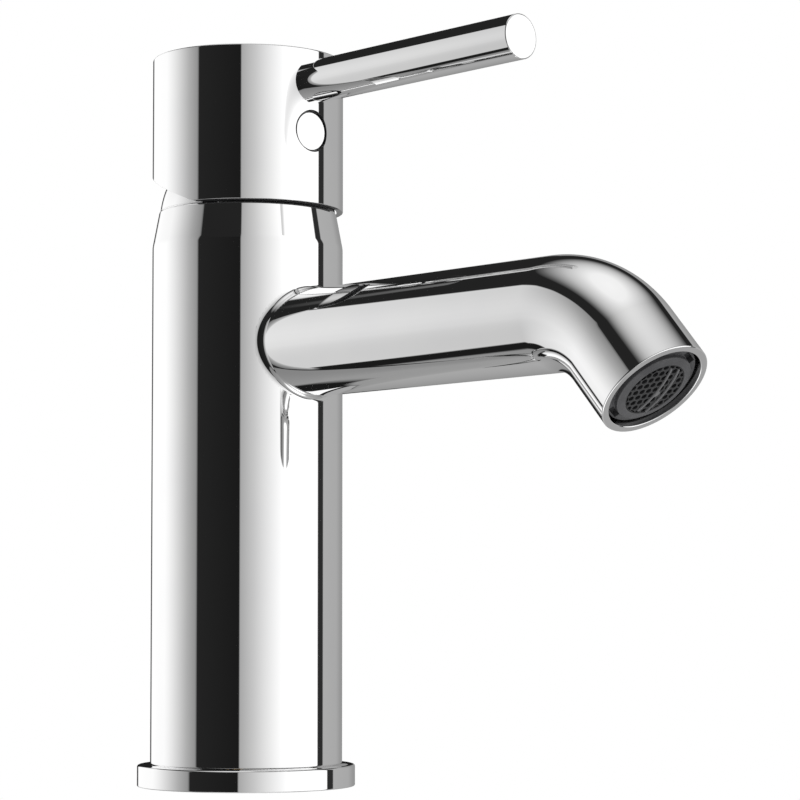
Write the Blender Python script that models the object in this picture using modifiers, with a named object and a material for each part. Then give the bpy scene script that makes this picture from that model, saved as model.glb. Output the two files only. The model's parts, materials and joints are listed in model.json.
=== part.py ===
"""Single-lever bathroom mixer faucet: casings, waterway, cartridge, handle and fixing kit as separate pieces.

Metres, +Z up. The origin is the centre of the flange's underside, on the deck. The spout and the lever point
to -Y, and the faucet is the same on its left and right. Run with: blender --background --python part.py
"""

import math

import bmesh
import bpy
from mathutils import Matrix, Vector

# ---- Driving dimensions --------------------------------------------------------------------------

GAP = 0.0003  # clearance between pieces that touch
PAST = 0.002  # how far a cutter runs past the face that it opens
BIG_STEPS = 40  # sides of the large round pieces
MID_STEPS = 28
SMALL_STEPS = 16
TINY_STEPS = 10
WIRE_STEPS = 6

# Deck flange and its gasket
FLANGE_R = 0.02554
FLANGE_H = 0.00495
FLANGE_EDGE = 0.0005
FLANGE_BORE_R = 0.0172
SPIGOT_TOP_Z = 0.0085
GROOVE_INNER_R = 0.0192
GROOVE_OUTER_R = 0.0226
GROOVE_DEPTH = 0.0022

# Tubular body, straight up to the kink and tapered above it
BODY_R = 0.0225
BODY_BORE_R = 0.0197
BODY_BOTTOM_Z = FLANGE_H + GAP
KINK_Z = 0.1265
RIM_Z = 0.1349
RIM_R = 0.0209
TAPER_BULGE = 0.00005
TAPER_STEPS = 3
BODY_EDGE = 0.0003

# Base block, which closes the foot of the body and holds the stud
CORE_R = BODY_BORE_R - GAP
BLOCK_TOP_Z = 0.028
BLOCK_BOTTOM_Z = 0.0006
HOSE_X = 0.0085
HOSE_Y = 0.0055
HOSE_PASSAGE_R = 0.0062
STUD_Y = -0.0115
STUD_R = 0.004
STUD_TOP_Z = 0.024
STUD_BOTTOM_Z = -0.062

# Waterway core: hose sockets below, cartridge chamber above, outlet port to the spout
CORE_BOTTOM_Z = 0.084
SOCKET_R = 0.0046
SOCKET_TOP_Z = 0.098
PASSAGE_R = 0.0028
SEAT_Z = 0.113
CHAMBER_R = 0.0176
CORE_TOP_Z = 0.133
OUTLET_Y = -0.007
OUTLET_R = 0.0035
OUTLET_GALLERY_R = 0.006
OUTLET_GALLERY_END = 0.001

# Spout: a straight run, one bend and a short straight nose
SPOUT_R = 0.01241
SPOUT_BORE_R = 0.0099
SPOUT_AXIS_Z = 0.10236
SPOUT_RISE = math.radians(0.69)
SPOUT_STRAIGHT = 0.0982
SPOUT_BEND_R = 0.0234
SPOUT_DROP = math.radians(48.7)
SPOUT_NOSE = 0.0127
SPOUT_BEND_STEPS = 8
SPOUT_BEVEL = 10
SPOUT_WEB_END = 0.0325

# Threaded connector between core and spout
CONNECTOR_R = 0.0084
CONNECTOR_BORE_R = OUTLET_GALLERY_R
CONNECTOR_START = 0.0135
CONNECTOR_END = 0.032
O_RING_PLACE = 0.0278
O_RING_WIRE_R = 0.00045
O_RING_R = 0.008

# Aerator, measured inwards from the spout's rim
NOSE_BORE_R = 0.0108
NOSE_BORE_DEPTH = 0.013
AERATOR_R = NOSE_BORE_R - GAP
AERATOR_RECESS = 0.00045
AERATOR_NOZZLE_R = 0.00925
AERATOR_FLANGE = 0.0021
AERATOR_END = 0.0106
AERATOR_LIP = 0.0027
AERATOR_EYE_R = 0.0076
AERATOR_SLEEVE_R = 0.0086
KEY_NOTCH_WIDTH = 0.003
KEY_NOTCH_DEPTH = 0.0014
KEY_NOTCH_R = 0.0089
KEY_NOTCH_TURN = math.radians(63)
SCREEN_FACE = 0.0003
SCREEN_END = 0.0052
SCREEN_PITCH = 0.0026
SCREEN_HOLE = 0.0018
SCREEN_CELLS = 2
DIFFUSER_STEPS = 30
DIFFUSER_HOLES = 6
DIFFUSER_HOLE_R = 0.0011
DIFFUSER_PITCH_R = 0.0058

# Cartridge, stacked upwards from the seat
CARTRIDGE_R = 0.0173
CARTRIDGE_BASE_TOP_Z = 0.1168
CARTRIDGE_PORT_R = 0.0032
SEAL_R = 0.004
SEAL_WIRE_R = 0.0006
SEAL_POCKET_R = 0.0049
SEAL_POCKET_DEPTH = 0.00155
FIXED_DISC_R = 0.0152
FIXED_DISC_TOP_Z = 0.1203
MOVING_DISC_R = 0.0124
MOVING_DISC_TOP_Z = 0.1236
DISC_PORT_R = 0.003
MIXING_LENGTH = 0.009
MIXING_DEPTH = 0.0016
HOUSING_BORE_R = 0.0156
HOUSING_STEP_Z = 0.1282
HOUSING_NECK_R = 0.0134
HOUSING_NECK_BORE_R = 0.0119
HOUSING_TOP_Z = 0.1334
HOUSING_LID = 0.0022
CARRIER_STEP_Z = 0.126
CARRIER_TOP_Z = 0.1284
CARRIER_R = 0.0122
CARRIER_HUB_R = 0.0084
LIMIT_RING_R = 0.0128
LIMIT_RING_H = 0.0018

# Pivot of the handle, the stem that turns on it and the guide that carries the pin
PIVOT_Z = 0.1328
BALL_Z = 0.1263
BALL_R = 0.0024
BALL_MOUTH_R = 0.0039
BALL_MOUTH_Z = 0.1272
PIN_R = 0.0014
PIN_HALF = 0.0087
STEM_HALF = 0.003
STEM_TOP_Z = 0.1575
STEM_NECK_R = 0.0016
STEM_SHOULDER_Z = 0.1297
GUIDE_R = 0.0091
GUIDE_FLANGE_R = 0.0115
GUIDE_BOTTOM_Z = 0.1288
GUIDE_SHOULDER_Z = 0.1309
GUIDE_TOP_Z = 0.138
GUIDE_SLOT_HALF = 0.0064

# Retaining nut and dome cover, a ball zone about the pivot
NUT_BORE_R = 0.0138
NUT_HEAD_R = 0.0166
NUT_TOP_Z = 0.138
NUT_SLOT = 0.003
NUT_SLOT_DEPTH = 0.0025
DOME_R = 0.0208
DOME_WALL = 0.0012
DOME_BOTTOM_Z = RIM_Z + GAP
DOME_TOP_Z = 0.1455
DOME_SKIRT_R = 0.018
DOME_STEPS = 4

# Handle cap with its ball-shaped recess, cut on a slant at the rear so that it can tip back
CAP_R = 0.02255
CAP_BOTTOM_Z = 0.1353
CAP_TOP_Z = 0.1711
CAP_TOP_EDGE = 0.0003
CAP_LOWER_EDGE = 0.0006
CAP_RECESS_R = 0.0212
CAP_CAVITY_R = 0.0185
CAP_ROOF_Z = 0.165
CAP_BOSS_R = 0.0068
CAP_BOSS_BOTTOM_Z = 0.142
CAP_SLANT_Y = -0.005
CAP_SLANT = math.radians(22.05)
FRONT_BLOCK_HALF = 0.007
FRONT_BLOCK_BOTTOM_Z = 0.147

# Lever rod, grub screw and the round plug that covers it
LEVER_R = 0.00494
LEVER_AXIS_Z = 0.16303
LEVER_RISE = math.radians(0.72)
LEVER_TIP = 0.08793
LEVER_ROOT = 0.0203
LEVER_THREAD_R = 0.003
LEVER_THREAD_START = 0.0095
LEVER_EDGE = 0.0003
PLUG_Z = 0.152
PLUG_R = 0.00455
PLUG_FACE = 0.0221
PLUG_BACK = 0.0206
PLUG_TAIL_R = 0.0024
PLUG_TAIL_END = 0.017
GRUB_R = 0.0025
GRUB_START = 0.0033
GRUB_END = 0.0135
GRUB_KEY_R = 0.00145
GRUB_KEY_DEPTH = 0.003
HEX_SIDES = 6

# Clamp under the deck
CLAMP_R = 0.022
CLAMP_SLOT_HALF = 0.0155
CLAMP_SLOT_Y = -0.003
RUBBER_TOP_Z = -0.030
RUBBER_H = 0.003
STEEL_H = 0.002
NUT_H = 0.0085
NUT_CORNER_R = 0.0075

# Base colour, roughness and metallic value of each finish
FINISHES = {
    "chrome": ((0.82, 0.83, 0.84), 0.05, 1.0),
    "brass": ((0.72, 0.55, 0.26), 0.28, 1.0),
    "steel": ((0.55, 0.56, 0.57), 0.35, 1.0),
    "rubber": ((0.03, 0.03, 0.03), 0.7, 0.0),
    "grey_plastic": ((0.14, 0.14, 0.15), 0.45, 0.0),
    "white_plastic": ((0.75, 0.74, 0.7), 0.4, 0.0),
    "ceramic": ((0.86, 0.85, 0.82), 0.18, 0.0),
}

# ---- Helpers -------------------------------------------------------------------------------------


def collection(name):
    """The collection of this name, made if it isn't there."""
    found = bpy.data.collections.get(name)
    if found is None:
        found = bpy.data.collections.new(name)
        bpy.context.scene.collection.children.link(found)
    return found


def add_object(name, mesh, place=None):
    """A new object that holds mesh, in the faucet's collection."""
    obj = bpy.data.objects.new(name, mesh)
    if place is not None:
        obj.matrix_world = place
    collection("mixer_faucet").objects.link(obj)
    return obj


def finish(obj, kind):
    """Gives a piece a material of its own in one of the finishes."""
    colour, roughness, metallic = FINISHES[kind]
    made = bpy.data.materials.new(f"{obj.name}_{kind}")
    made.use_nodes = True
    shader = made.node_tree.nodes["Principled BSDF"]
    shader.inputs["Base Color"].default_value = (*colour, 1.0)
    shader.inputs["Roughness"].default_value = roughness
    shader.inputs["Metallic"].default_value = metallic
    obj.data.materials.append(made)
    return obj


def along(origin, direction):
    """A matrix whose Z axis points along direction from origin."""
    return Matrix.Translation(Vector(origin)) @ Vector(direction).to_track_quat("Z", "Y").to_matrix().to_4x4()


def turned(name, profile, steps=MID_STEPS, place=None):
    """A turned piece from (radius, height) points down its outer side; a ring's outline closes on itself."""
    points = [(radius, 0.0, height) for radius, height in profile]
    edges = [(i, i + 1) for i in range(len(points) - 1)]
    if profile[0][0] > 0:
        edges.append((len(points) - 1, 0))
    mesh = bpy.data.meshes.new(name)
    mesh.from_pydata(points, edges, [])
    obj = add_object(name, mesh, place)
    screw = obj.modifiers.new("Turn", "SCREW")
    screw.steps = steps
    screw.render_steps = steps
    screw.use_merge_vertices = True
    screw.merge_threshold = 0.000001
    screw.use_smooth_shade = True
    return obj


def ring(name, inner, outer, bottom, top, steps=MID_STEPS, place=None):
    """A plain ring of square section."""
    return turned(name, [(inner, top), (outer, top), (outer, bottom), (inner, bottom)], steps, place)


def o_ring(name, radius, wire, height, place=None):
    """A ring of round section."""
    profile = []
    for i in range(WIRE_STEPS):
        angle = -2 * math.pi * i / WIRE_STEPS
        profile.append((radius + wire * math.cos(angle), height + wire * math.sin(angle)))
    return turned(name, profile, SMALL_STEPS, place)


def rod(name, radius, start, end, sides=SMALL_STEPS):
    """A closed cylinder from start to end."""
    start, end = Vector(start), Vector(end)
    shape = bmesh.new()
    bmesh.ops.create_cone(
        shape, cap_ends=True, segments=sides, radius1=radius, radius2=radius, depth=(end - start).length
    )
    mesh = bpy.data.meshes.new(name)
    shape.to_mesh(mesh)
    shape.free()
    return add_object(name, mesh, along((start + end) / 2, end - start))


def block(name, low, high):
    """A box between two corners."""
    low, high = Vector(low), Vector(high)
    shape = bmesh.new()
    bmesh.ops.create_cube(shape, size=1.0, matrix=Matrix.Diagonal((*(high - low), 1.0)))
    mesh = bpy.data.meshes.new(name)
    shape.to_mesh(mesh)
    shape.free()
    return add_object(name, mesh, Matrix.Translation((low + high) / 2))


def ball(name, radius, centre):
    """A closed ball."""
    shape = bmesh.new()
    bmesh.ops.create_uvsphere(shape, u_segments=TINY_STEPS, v_segments=TINY_STEPS // 2, radius=radius)
    mesh = bpy.data.meshes.new(name)
    shape.to_mesh(mesh)
    shape.free()
    return add_object(name, mesh, Matrix.Translation(centre))


def tube_mesh(name, points, radius):
    """A swept round bar along points, made a closed mesh."""
    curve = bpy.data.curves.new(name, "CURVE")
    curve.dimensions = "3D"
    curve.bevel_depth = radius
    curve.bevel_resolution = SPOUT_BEVEL
    curve.use_fill_caps = True
    spline = curve.splines.new("POLY")
    spline.points.add(len(points) - 1)
    for spot, point in zip(spline.points, points):
        spot.co = (*point, 1.0)
    guide = add_object(name + "_guide", curve)
    graph = bpy.context.evaluated_depsgraph_get()
    mesh = bpy.data.meshes.new_from_object(guide.evaluated_get(graph))
    shape = bmesh.new()
    shape.from_mesh(mesh)
    bmesh.ops.remove_doubles(shape, verts=shape.verts, dist=0.000001)
    shape.to_mesh(mesh)
    shape.free()
    obj = add_object(name, mesh, guide.matrix_world.copy())
    bpy.data.objects.remove(guide)
    return obj


def combine(target, tool, operation):
    """Cuts, joins or trims target with tool, which becomes a hidden helper that follows it."""
    tool.hide_render = True
    tool.display_type = "WIRE"
    collection("mixer_faucet").objects.unlink(tool)
    collection("faucet_cutters").objects.link(tool)
    bpy.context.view_layer.update()
    tool.parent = target
    tool.matrix_parent_inverse = target.matrix_world.inverted()
    step = target.modifiers.new(operation.title(), "BOOLEAN")
    step.operation = operation
    step.solver = "EXACT"
    step.object = tool


def cut(target, *tools):
    """Takes each tool away from target."""
    for tool in tools:
        combine(target, tool, "DIFFERENCE")


def join(target, *tools):
    """Adds each tool to target."""
    for tool in tools:
        combine(target, tool, "UNION")


def sphere_arc(radius, low_z, high_z, count):
    """(radius, height) points down a ball about the pivot, from high_z to low_z."""
    high = math.asin((high_z - PIVOT_Z) / radius)
    low = math.asin((low_z - PIVOT_Z) / radius)
    points = []
    for i in range(count + 1):
        angle = high + (low - high) * i / count
        points.append((radius * math.cos(angle), PIVOT_Z + radius * math.sin(angle)))
    return points


def spout_frame():
    """The spout's own frame at the body axis: Z runs out along its straight part."""
    return along((0, 0, SPOUT_AXIS_Z), (0, -math.cos(SPOUT_RISE), math.sin(SPOUT_RISE)))


def spout_point(distance):
    """A point on the axis of the spout's straight part."""
    return spout_frame() @ Vector((0, 0, distance))


def spout_route(start):
    """The centre line from start to the rim, with the rim's centre and the way that it faces."""
    begin = spout_point(SPOUT_STRAIGHT)
    centre = begin + SPOUT_BEND_R * Vector((0, -math.sin(SPOUT_RISE), -math.cos(SPOUT_RISE)))
    points = [spout_point(start)]
    for i in range(SPOUT_BEND_STEPS + 1):
        angle = SPOUT_RISE - (SPOUT_RISE + SPOUT_DROP) * i / SPOUT_BEND_STEPS
        points.append(centre + SPOUT_BEND_R * Vector((0, math.sin(angle), math.cos(angle))))
    way_out = Vector((0, -math.cos(SPOUT_DROP), -math.sin(SPOUT_DROP)))
    rim = points[-1] + SPOUT_NOSE * way_out
    points.append(rim)
    return points, rim, way_out


def lever_frame():
    """The lever's own frame at the body axis: Z runs out along the rod."""
    return along((0, 0, LEVER_AXIS_Z), (0, -math.cos(LEVER_RISE), math.sin(LEVER_RISE)))


def lever_point(distance):
    """A point on the lever's axis."""
    return lever_frame() @ Vector((0, 0, distance))


def port_rods(name, radius, low, high, sides=TINY_STEPS):
    """Upright rods through the hot, cold and outlet ports, as tools."""
    spots = [(-HOSE_X, HOSE_Y), (HOSE_X, HOSE_Y), (0, OUTLET_Y)]
    return [
        rod(f"{name}_port_{i}", radius, (x, y, low), (x, y, high), sides) for i, (x, y) in enumerate(spots)
    ]


# ---- Casings -------------------------------------------------------------------------------------


def make_flange():
    flange = turned(
        "base_flange",
        [
            (FLANGE_BORE_R, SPIGOT_TOP_Z),
            (CORE_R, SPIGOT_TOP_Z),
            (CORE_R, FLANGE_H),
            (FLANGE_R - FLANGE_EDGE, FLANGE_H),
            (FLANGE_R, FLANGE_H - FLANGE_EDGE),
            (FLANGE_R, FLANGE_EDGE / 2),
            (FLANGE_R - FLANGE_EDGE / 2, 0),
            (GROOVE_OUTER_R, 0),
            (GROOVE_OUTER_R, GROOVE_DEPTH),
            (GROOVE_INNER_R, GROOVE_DEPTH),
            (GROOVE_INNER_R, 0),
            (FLANGE_BORE_R, 0),
        ],
        BIG_STEPS,
    )
    finish(flange, "chrome")
    gasket = ring("base_gasket", GROOVE_INNER_R + GAP, GROOVE_OUTER_R - GAP, 0, GROOVE_DEPTH - GAP)
    finish(gasket, "rubber")


def make_body():
    rise = RIM_Z - KINK_Z
    taper = []
    for i in range(TAPER_STEPS + 1):
        share = 1 - i / TAPER_STEPS
        bulge = 4 * TAPER_BULGE * share * (1 - share)
        taper.append((BODY_R + (RIM_R - BODY_R) * share + bulge, KINK_Z + rise * share))
    body = turned(
        "main_body",
        [
            (BODY_BORE_R, RIM_Z),
            *taper,
            (BODY_R, BODY_BOTTOM_Z + BODY_EDGE),
            (BODY_R - BODY_EDGE, BODY_BOTTOM_Z),
            (BODY_BORE_R, BODY_BOTTOM_Z),
        ],
        BIG_STEPS,
    )
    cut(body, rod("body_spout_hole", CONNECTOR_R + GAP, spout_point(0), spout_point(BODY_R + PAST)))
    finish(body, "chrome")


def make_base_block():
    base = turned(
        "base_block",
        [
            (0, BLOCK_TOP_Z),
            (CORE_R, BLOCK_TOP_Z),
            (CORE_R, SPIGOT_TOP_Z + GAP),
            (FLANGE_BORE_R - GAP, SPIGOT_TOP_Z + GAP),
            (FLANGE_BORE_R - GAP, BLOCK_BOTTOM_Z),
            (0, BLOCK_BOTTOM_Z),
        ],
    )
    for side, x in (("hot", -HOSE_X), ("cold", HOSE_X)):
        passage = rod(
            f"{side}_hose_passage", HOSE_PASSAGE_R, (x, HOSE_Y, -PAST), (x, HOSE_Y, BLOCK_TOP_Z + PAST)
        )
        cut(base, passage)
    cut(base, rod("stud_hole", STUD_R + GAP, (0, STUD_Y, -PAST), (0, STUD_Y, STUD_TOP_Z + GAP)))
    finish(base, "brass")


def make_core():
    core = turned(
        "waterway_core",
        [
            (0, SEAT_Z),
            (CHAMBER_R, SEAT_Z),
            (CHAMBER_R, CORE_TOP_Z),
            (CORE_R, CORE_TOP_Z),
            (CORE_R, CORE_BOTTOM_Z),
            (0, CORE_BOTTOM_Z),
        ],
    )
    for side, x in (("hot", -HOSE_X), ("cold", HOSE_X)):
        cut(
            core,
            rod(f"{side}_socket", SOCKET_R, (x, HOSE_Y, CORE_BOTTOM_Z - PAST), (x, HOSE_Y, SOCKET_TOP_Z)),
            rod(
                f"{side}_passage",
                PASSAGE_R,
                (x, HOSE_Y, SOCKET_TOP_Z - PAST),
                (x, HOSE_Y, SEAT_Z + PAST),
                TINY_STEPS,
            ),
        )
    cut(
        core,
        rod("outlet_drop", OUTLET_R, (0, OUTLET_Y, SPOUT_AXIS_Z), (0, OUTLET_Y, SEAT_Z + PAST), TINY_STEPS),
        rod("outlet_gallery", OUTLET_GALLERY_R, spout_point(OUTLET_GALLERY_END), spout_point(BODY_R)),
        rod("connector_thread", CONNECTOR_R + GAP, spout_point(CONNECTOR_START - GAP), spout_point(BODY_R)),
    )
    finish(core, "brass")


# ---- Spout ---------------------------------------------------------------------------------------


def make_spout():
    outer_route, rim, way_out = spout_route(CONNECTOR_START)
    inner_route = spout_route(SPOUT_WEB_END)[0][:-1]
    inner_route.append(rim + PAST * way_out)
    spout = tube_mesh("spout_tube", outer_route, SPOUT_R)
    cut(
        spout,
        rod("body_clearance", BODY_R + GAP, (0, 0, CORE_BOTTOM_Z), (0, 0, KINK_Z), BIG_STEPS),
        tube_mesh("spout_bore", inner_route, SPOUT_BORE_R),
        rod("spout_thread", CONNECTOR_R + GAP, spout_point(0), spout_point(SPOUT_WEB_END + PAST)),
        rod("nose_bore", NOSE_BORE_R, rim - NOSE_BORE_DEPTH * way_out, rim + PAST * way_out, MID_STEPS),
    )
    finish(spout, "chrome")


def make_connector():
    groove_r = O_RING_R - O_RING_WIRE_R - GAP / 2
    groove_half = O_RING_WIRE_R + GAP
    connector = turned(
        "spout_connector",
        [
            (CONNECTOR_BORE_R, CONNECTOR_END),
            (CONNECTOR_R, CONNECTOR_END),
            (CONNECTOR_R, O_RING_PLACE + groove_half),
            (groove_r, O_RING_PLACE + groove_half),
            (groove_r, O_RING_PLACE - groove_half),
            (CONNECTOR_R, O_RING_PLACE - groove_half),
            (CONNECTOR_R, CONNECTOR_START),
            (CONNECTOR_BORE_R, CONNECTOR_START),
        ],
        SMALL_STEPS,
        spout_frame(),
    )
    finish(connector, "brass")
    finish(o_ring("spout_o_ring", O_RING_R, O_RING_WIRE_R, O_RING_PLACE, spout_frame()), "rubber")


def make_aerator():
    _, rim, way_out = spout_route(0)
    place = along(rim, way_out)
    housing = turned(
        "aerator_housing",
        [
            (AERATOR_EYE_R, -AERATOR_RECESS),
            (AERATOR_NOZZLE_R, -AERATOR_RECESS),
            (AERATOR_NOZZLE_R, -AERATOR_FLANGE),
            (AERATOR_R, -AERATOR_FLANGE),
            (AERATOR_R, -AERATOR_END),
            (AERATOR_SLEEVE_R, -AERATOR_END),
            (AERATOR_SLEEVE_R, -AERATOR_LIP),
            (AERATOR_EYE_R, -AERATOR_LIP),
        ],
        MID_STEPS,
        place,
    )
    for turn in (KEY_NOTCH_TURN, KEY_NOTCH_TURN + math.pi):
        notch = block(
            f"key_notch_{math.degrees(turn):.0f}",
            (KEY_NOTCH_R, -KEY_NOTCH_WIDTH / 2, -AERATOR_FLANGE - KEY_NOTCH_DEPTH),
            (AERATOR_R + PAST, KEY_NOTCH_WIDTH / 2, 0),
        )
        notch.matrix_world = place @ Matrix.Rotation(turn, 4, "Z") @ notch.matrix_world
        cut(housing, notch)
    finish(housing, "grey_plastic")

    screen = turned(
        "aerator_screen",
        [
            (0, -SCREEN_FACE),
            (AERATOR_EYE_R - GAP, -SCREEN_FACE),
            (AERATOR_EYE_R - GAP, -AERATOR_LIP - GAP),
            (AERATOR_SLEEVE_R - GAP, -AERATOR_LIP - GAP),
            (AERATOR_SLEEVE_R - GAP, -SCREEN_END),
            (0, -SCREEN_END),
        ],
        MID_STEPS,
        place,
    )
    for column in range(-SCREEN_CELLS, SCREEN_CELLS + 1):
        for row in range(-SCREEN_CELLS, SCREEN_CELLS + 1):
            if abs(column) == SCREEN_CELLS and abs(row) == SCREEN_CELLS:
                continue
            x = column * SCREEN_PITCH
            y = row * SCREEN_PITCH
            cell = block(
                f"screen_cell_{column}_{row}",
                (x - SCREEN_HOLE / 2, y - SCREEN_HOLE / 2, -SCREEN_END - PAST),
                (x + SCREEN_HOLE / 2, y + SCREEN_HOLE / 2, PAST),
            )
            cell.matrix_world = place @ cell.matrix_world
            cut(screen, cell)
    finish(screen, "grey_plastic")

    diffuser = turned(
        "aerator_diffuser",
        [
            (0, -SCREEN_END - GAP),
            (AERATOR_SLEEVE_R - GAP, -SCREEN_END - GAP),
            (AERATOR_SLEEVE_R - GAP, -AERATOR_END),
            (0, -AERATOR_END),
        ],
        DIFFUSER_STEPS,
        place,
    )
    for i in range(DIFFUSER_HOLES):
        turn = 2 * math.pi * (i + 0.5) / DIFFUSER_HOLES
        spot = Vector((DIFFUSER_PITCH_R * math.cos(turn), DIFFUSER_PITCH_R * math.sin(turn), 0))
        low = place @ (spot + Vector((0, 0, -AERATOR_END - PAST)))
        high = place @ (spot + Vector((0, 0, -SCREEN_END + PAST)))
        cut(diffuser, rod(f"diffuser_hole_{i}", DIFFUSER_HOLE_R, low, high, TINY_STEPS))
    finish(diffuser, "white_plastic")

    gasket = ring(
        "aerator_gasket",
        AERATOR_SLEEVE_R - GAP,
        AERATOR_R,
        -NOSE_BORE_DEPTH + GAP,
        -AERATOR_END - GAP,
        place=place,
    )
    finish(gasket, "rubber")


# ---- Cartridge -----------------------------------------------------------------------------------


def make_cartridge_base():
    bottom = SEAT_Z + GAP
    base = turned(
        "cartridge_base",
        [(0, CARTRIDGE_BASE_TOP_Z), (CARTRIDGE_R, CARTRIDGE_BASE_TOP_Z), (CARTRIDGE_R, bottom), (0, bottom)],
    )
    cut(base, *port_rods("base", CARTRIDGE_PORT_R, bottom - PAST, CARTRIDGE_BASE_TOP_Z + PAST))
    pockets = port_rods("seal_pocket", SEAL_POCKET_R, bottom - PAST, bottom + SEAL_POCKET_DEPTH, SMALL_STEPS)
    cut(base, *pockets)
    finish(base, "white_plastic")
    seal_z = bottom + SEAL_WIRE_R + GAP / 3
    spots = {"hot": (-HOSE_X, HOSE_Y), "cold": (HOSE_X, HOSE_Y), "outlet": (0, OUTLET_Y)}
    for name, (x, y) in spots.items():
        seal = o_ring(f"{name}_port_seal", SEAL_R, SEAL_WIRE_R, 0, Matrix.Translation((x, y, seal_z)))
        finish(seal, "rubber")


def make_discs():
    low = CARTRIDGE_BASE_TOP_Z + GAP
    fixed = turned(
        "fixed_ceramic_disc",
        [(0, FIXED_DISC_TOP_Z), (FIXED_DISC_R, FIXED_DISC_TOP_Z), (FIXED_DISC_R, low), (0, low)],
    )
    cut(fixed, *port_rods("fixed_disc", DISC_PORT_R, low - PAST, FIXED_DISC_TOP_Z + PAST))
    finish(fixed, "ceramic")

    low = FIXED_DISC_TOP_Z + GAP
    moving = turned(
        "moving_ceramic_disc",
        [(0, MOVING_DISC_TOP_Z), (MOVING_DISC_R, MOVING_DISC_TOP_Z), (MOVING_DISC_R, low), (0, low)],
    )
    mixing_hollow = block(
        "mixing_hollow",
        (-DISC_PORT_R, OUTLET_Y - DISC_PORT_R, low - PAST),
        (DISC_PORT_R, OUTLET_Y + MIXING_LENGTH, low + MIXING_DEPTH),
    )
    cut(moving, mixing_hollow)
    finish(moving, "ceramic")

    low = MOVING_DISC_TOP_Z + GAP
    carrier = turned(
        "disc_carrier",
        [
            (0, CARRIER_TOP_Z),
            (CARRIER_HUB_R, CARRIER_TOP_Z),
            (CARRIER_HUB_R, CARRIER_STEP_Z),
            (CARRIER_R, CARRIER_STEP_Z),
            (CARRIER_R, low),
            (0, low),
        ],
    )
    cut(
        carrier,
        rod("ball_pocket", BALL_R + GAP, (0, 0, low - PAST), (0, 0, CARRIER_TOP_Z + PAST)),
        rod("ball_mouth", BALL_MOUTH_R, (0, 0, BALL_MOUTH_Z), (0, 0, CARRIER_TOP_Z + PAST)),
    )
    finish(carrier, "white_plastic")


def make_cartridge_housing():
    bottom = CARTRIDGE_BASE_TOP_Z + GAP
    wall = CARTRIDGE_R - HOUSING_BORE_R
    housing = turned(
        "cartridge_housing",
        [
            (GUIDE_R + GAP, HOUSING_TOP_Z),
            (HOUSING_NECK_R, HOUSING_TOP_Z),
            (HOUSING_NECK_R, HOUSING_STEP_Z),
            (CARTRIDGE_R, HOUSING_STEP_Z),
            (CARTRIDGE_R, bottom),
            (HOUSING_BORE_R, bottom),
            (HOUSING_BORE_R, HOUSING_STEP_Z - wall),
            (HOUSING_NECK_BORE_R, HOUSING_STEP_Z - wall),
            (HOUSING_NECK_BORE_R, HOUSING_TOP_Z - HOUSING_LID),
            (GUIDE_R + GAP, HOUSING_TOP_Z - HOUSING_LID),
        ],
    )
    finish(housing, "grey_plastic")
    limit_bottom = HOUSING_TOP_Z + GAP
    limit = ring(
        "temperature_limit_ring", GUIDE_R + 2 * GAP, LIMIT_RING_R, limit_bottom, limit_bottom + LIMIT_RING_H
    )
    finish(limit, "white_plastic")


def make_retaining_nut():
    nut = turned(
        "retaining_nut",
        [
            (NUT_BORE_R, NUT_TOP_Z),
            (NUT_HEAD_R, NUT_TOP_Z),
            (NUT_HEAD_R, CORE_TOP_Z + GAP),
            (CARTRIDGE_R, CORE_TOP_Z + GAP),
            (CARTRIDGE_R, HOUSING_STEP_Z + GAP),
            (NUT_BORE_R, HOUSING_STEP_Z + GAP),
        ],
    )
    half = NUT_SLOT / 2
    floor = NUT_TOP_Z - NUT_SLOT_DEPTH
    cut(
        nut,
        block("nut_slot_x", (-CORE_R, -half, floor), (CORE_R, half, NUT_TOP_Z + PAST)),
        block("nut_slot_y", (-half, -CORE_R, floor), (half, CORE_R, NUT_TOP_Z + PAST)),
    )
    finish(nut, "brass")


def make_dome():
    outer = sphere_arc(DOME_R, DOME_BOTTOM_Z, DOME_TOP_Z, DOME_STEPS)
    inner = sphere_arc(DOME_R - DOME_WALL, DOME_BOTTOM_Z + DOME_WALL, DOME_TOP_Z, DOME_STEPS)
    dome = turned(
        "dome_cover",
        [
            *outer,
            (CORE_R, DOME_BOTTOM_Z),
            (CORE_R, CORE_TOP_Z + GAP),
            (DOME_SKIRT_R, CORE_TOP_Z + GAP),
            (DOME_SKIRT_R, DOME_BOTTOM_Z + DOME_WALL),
            *reversed(inner),
        ],
        BIG_STEPS,
    )
    finish(dome, "chrome")


# ---- Turning guide and handle --------------------------------------------------------------------


def make_guide():
    guide = turned(
        "stem_guide",
        [
            (0, GUIDE_TOP_Z),
            (GUIDE_R, GUIDE_TOP_Z),
            (GUIDE_R, GUIDE_SHOULDER_Z),
            (GUIDE_FLANGE_R, GUIDE_SHOULDER_Z),
            (GUIDE_FLANGE_R, GUIDE_BOTTOM_Z),
            (0, GUIDE_BOTTOM_Z),
        ],
    )
    half_x = STEM_HALF + GAP
    pin_reach = GUIDE_FLANGE_R + PAST
    cut(
        guide,
        block(
            "guide_slot",
            (-half_x, -GUIDE_SLOT_HALF, GUIDE_BOTTOM_Z - PAST),
            (half_x, GUIDE_SLOT_HALF, GUIDE_TOP_Z + PAST),
        ),
        rod("guide_pin_hole", PIN_R + GAP, (-pin_reach, 0, PIVOT_Z), (pin_reach, 0, PIVOT_Z), TINY_STEPS),
    )
    finish(guide, "white_plastic")
    pin = rod("pivot_pin", PIN_R, (-PIN_HALF, 0, PIVOT_Z), (PIN_HALF, 0, PIVOT_Z), TINY_STEPS)
    finish(pin, "steel")


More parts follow.
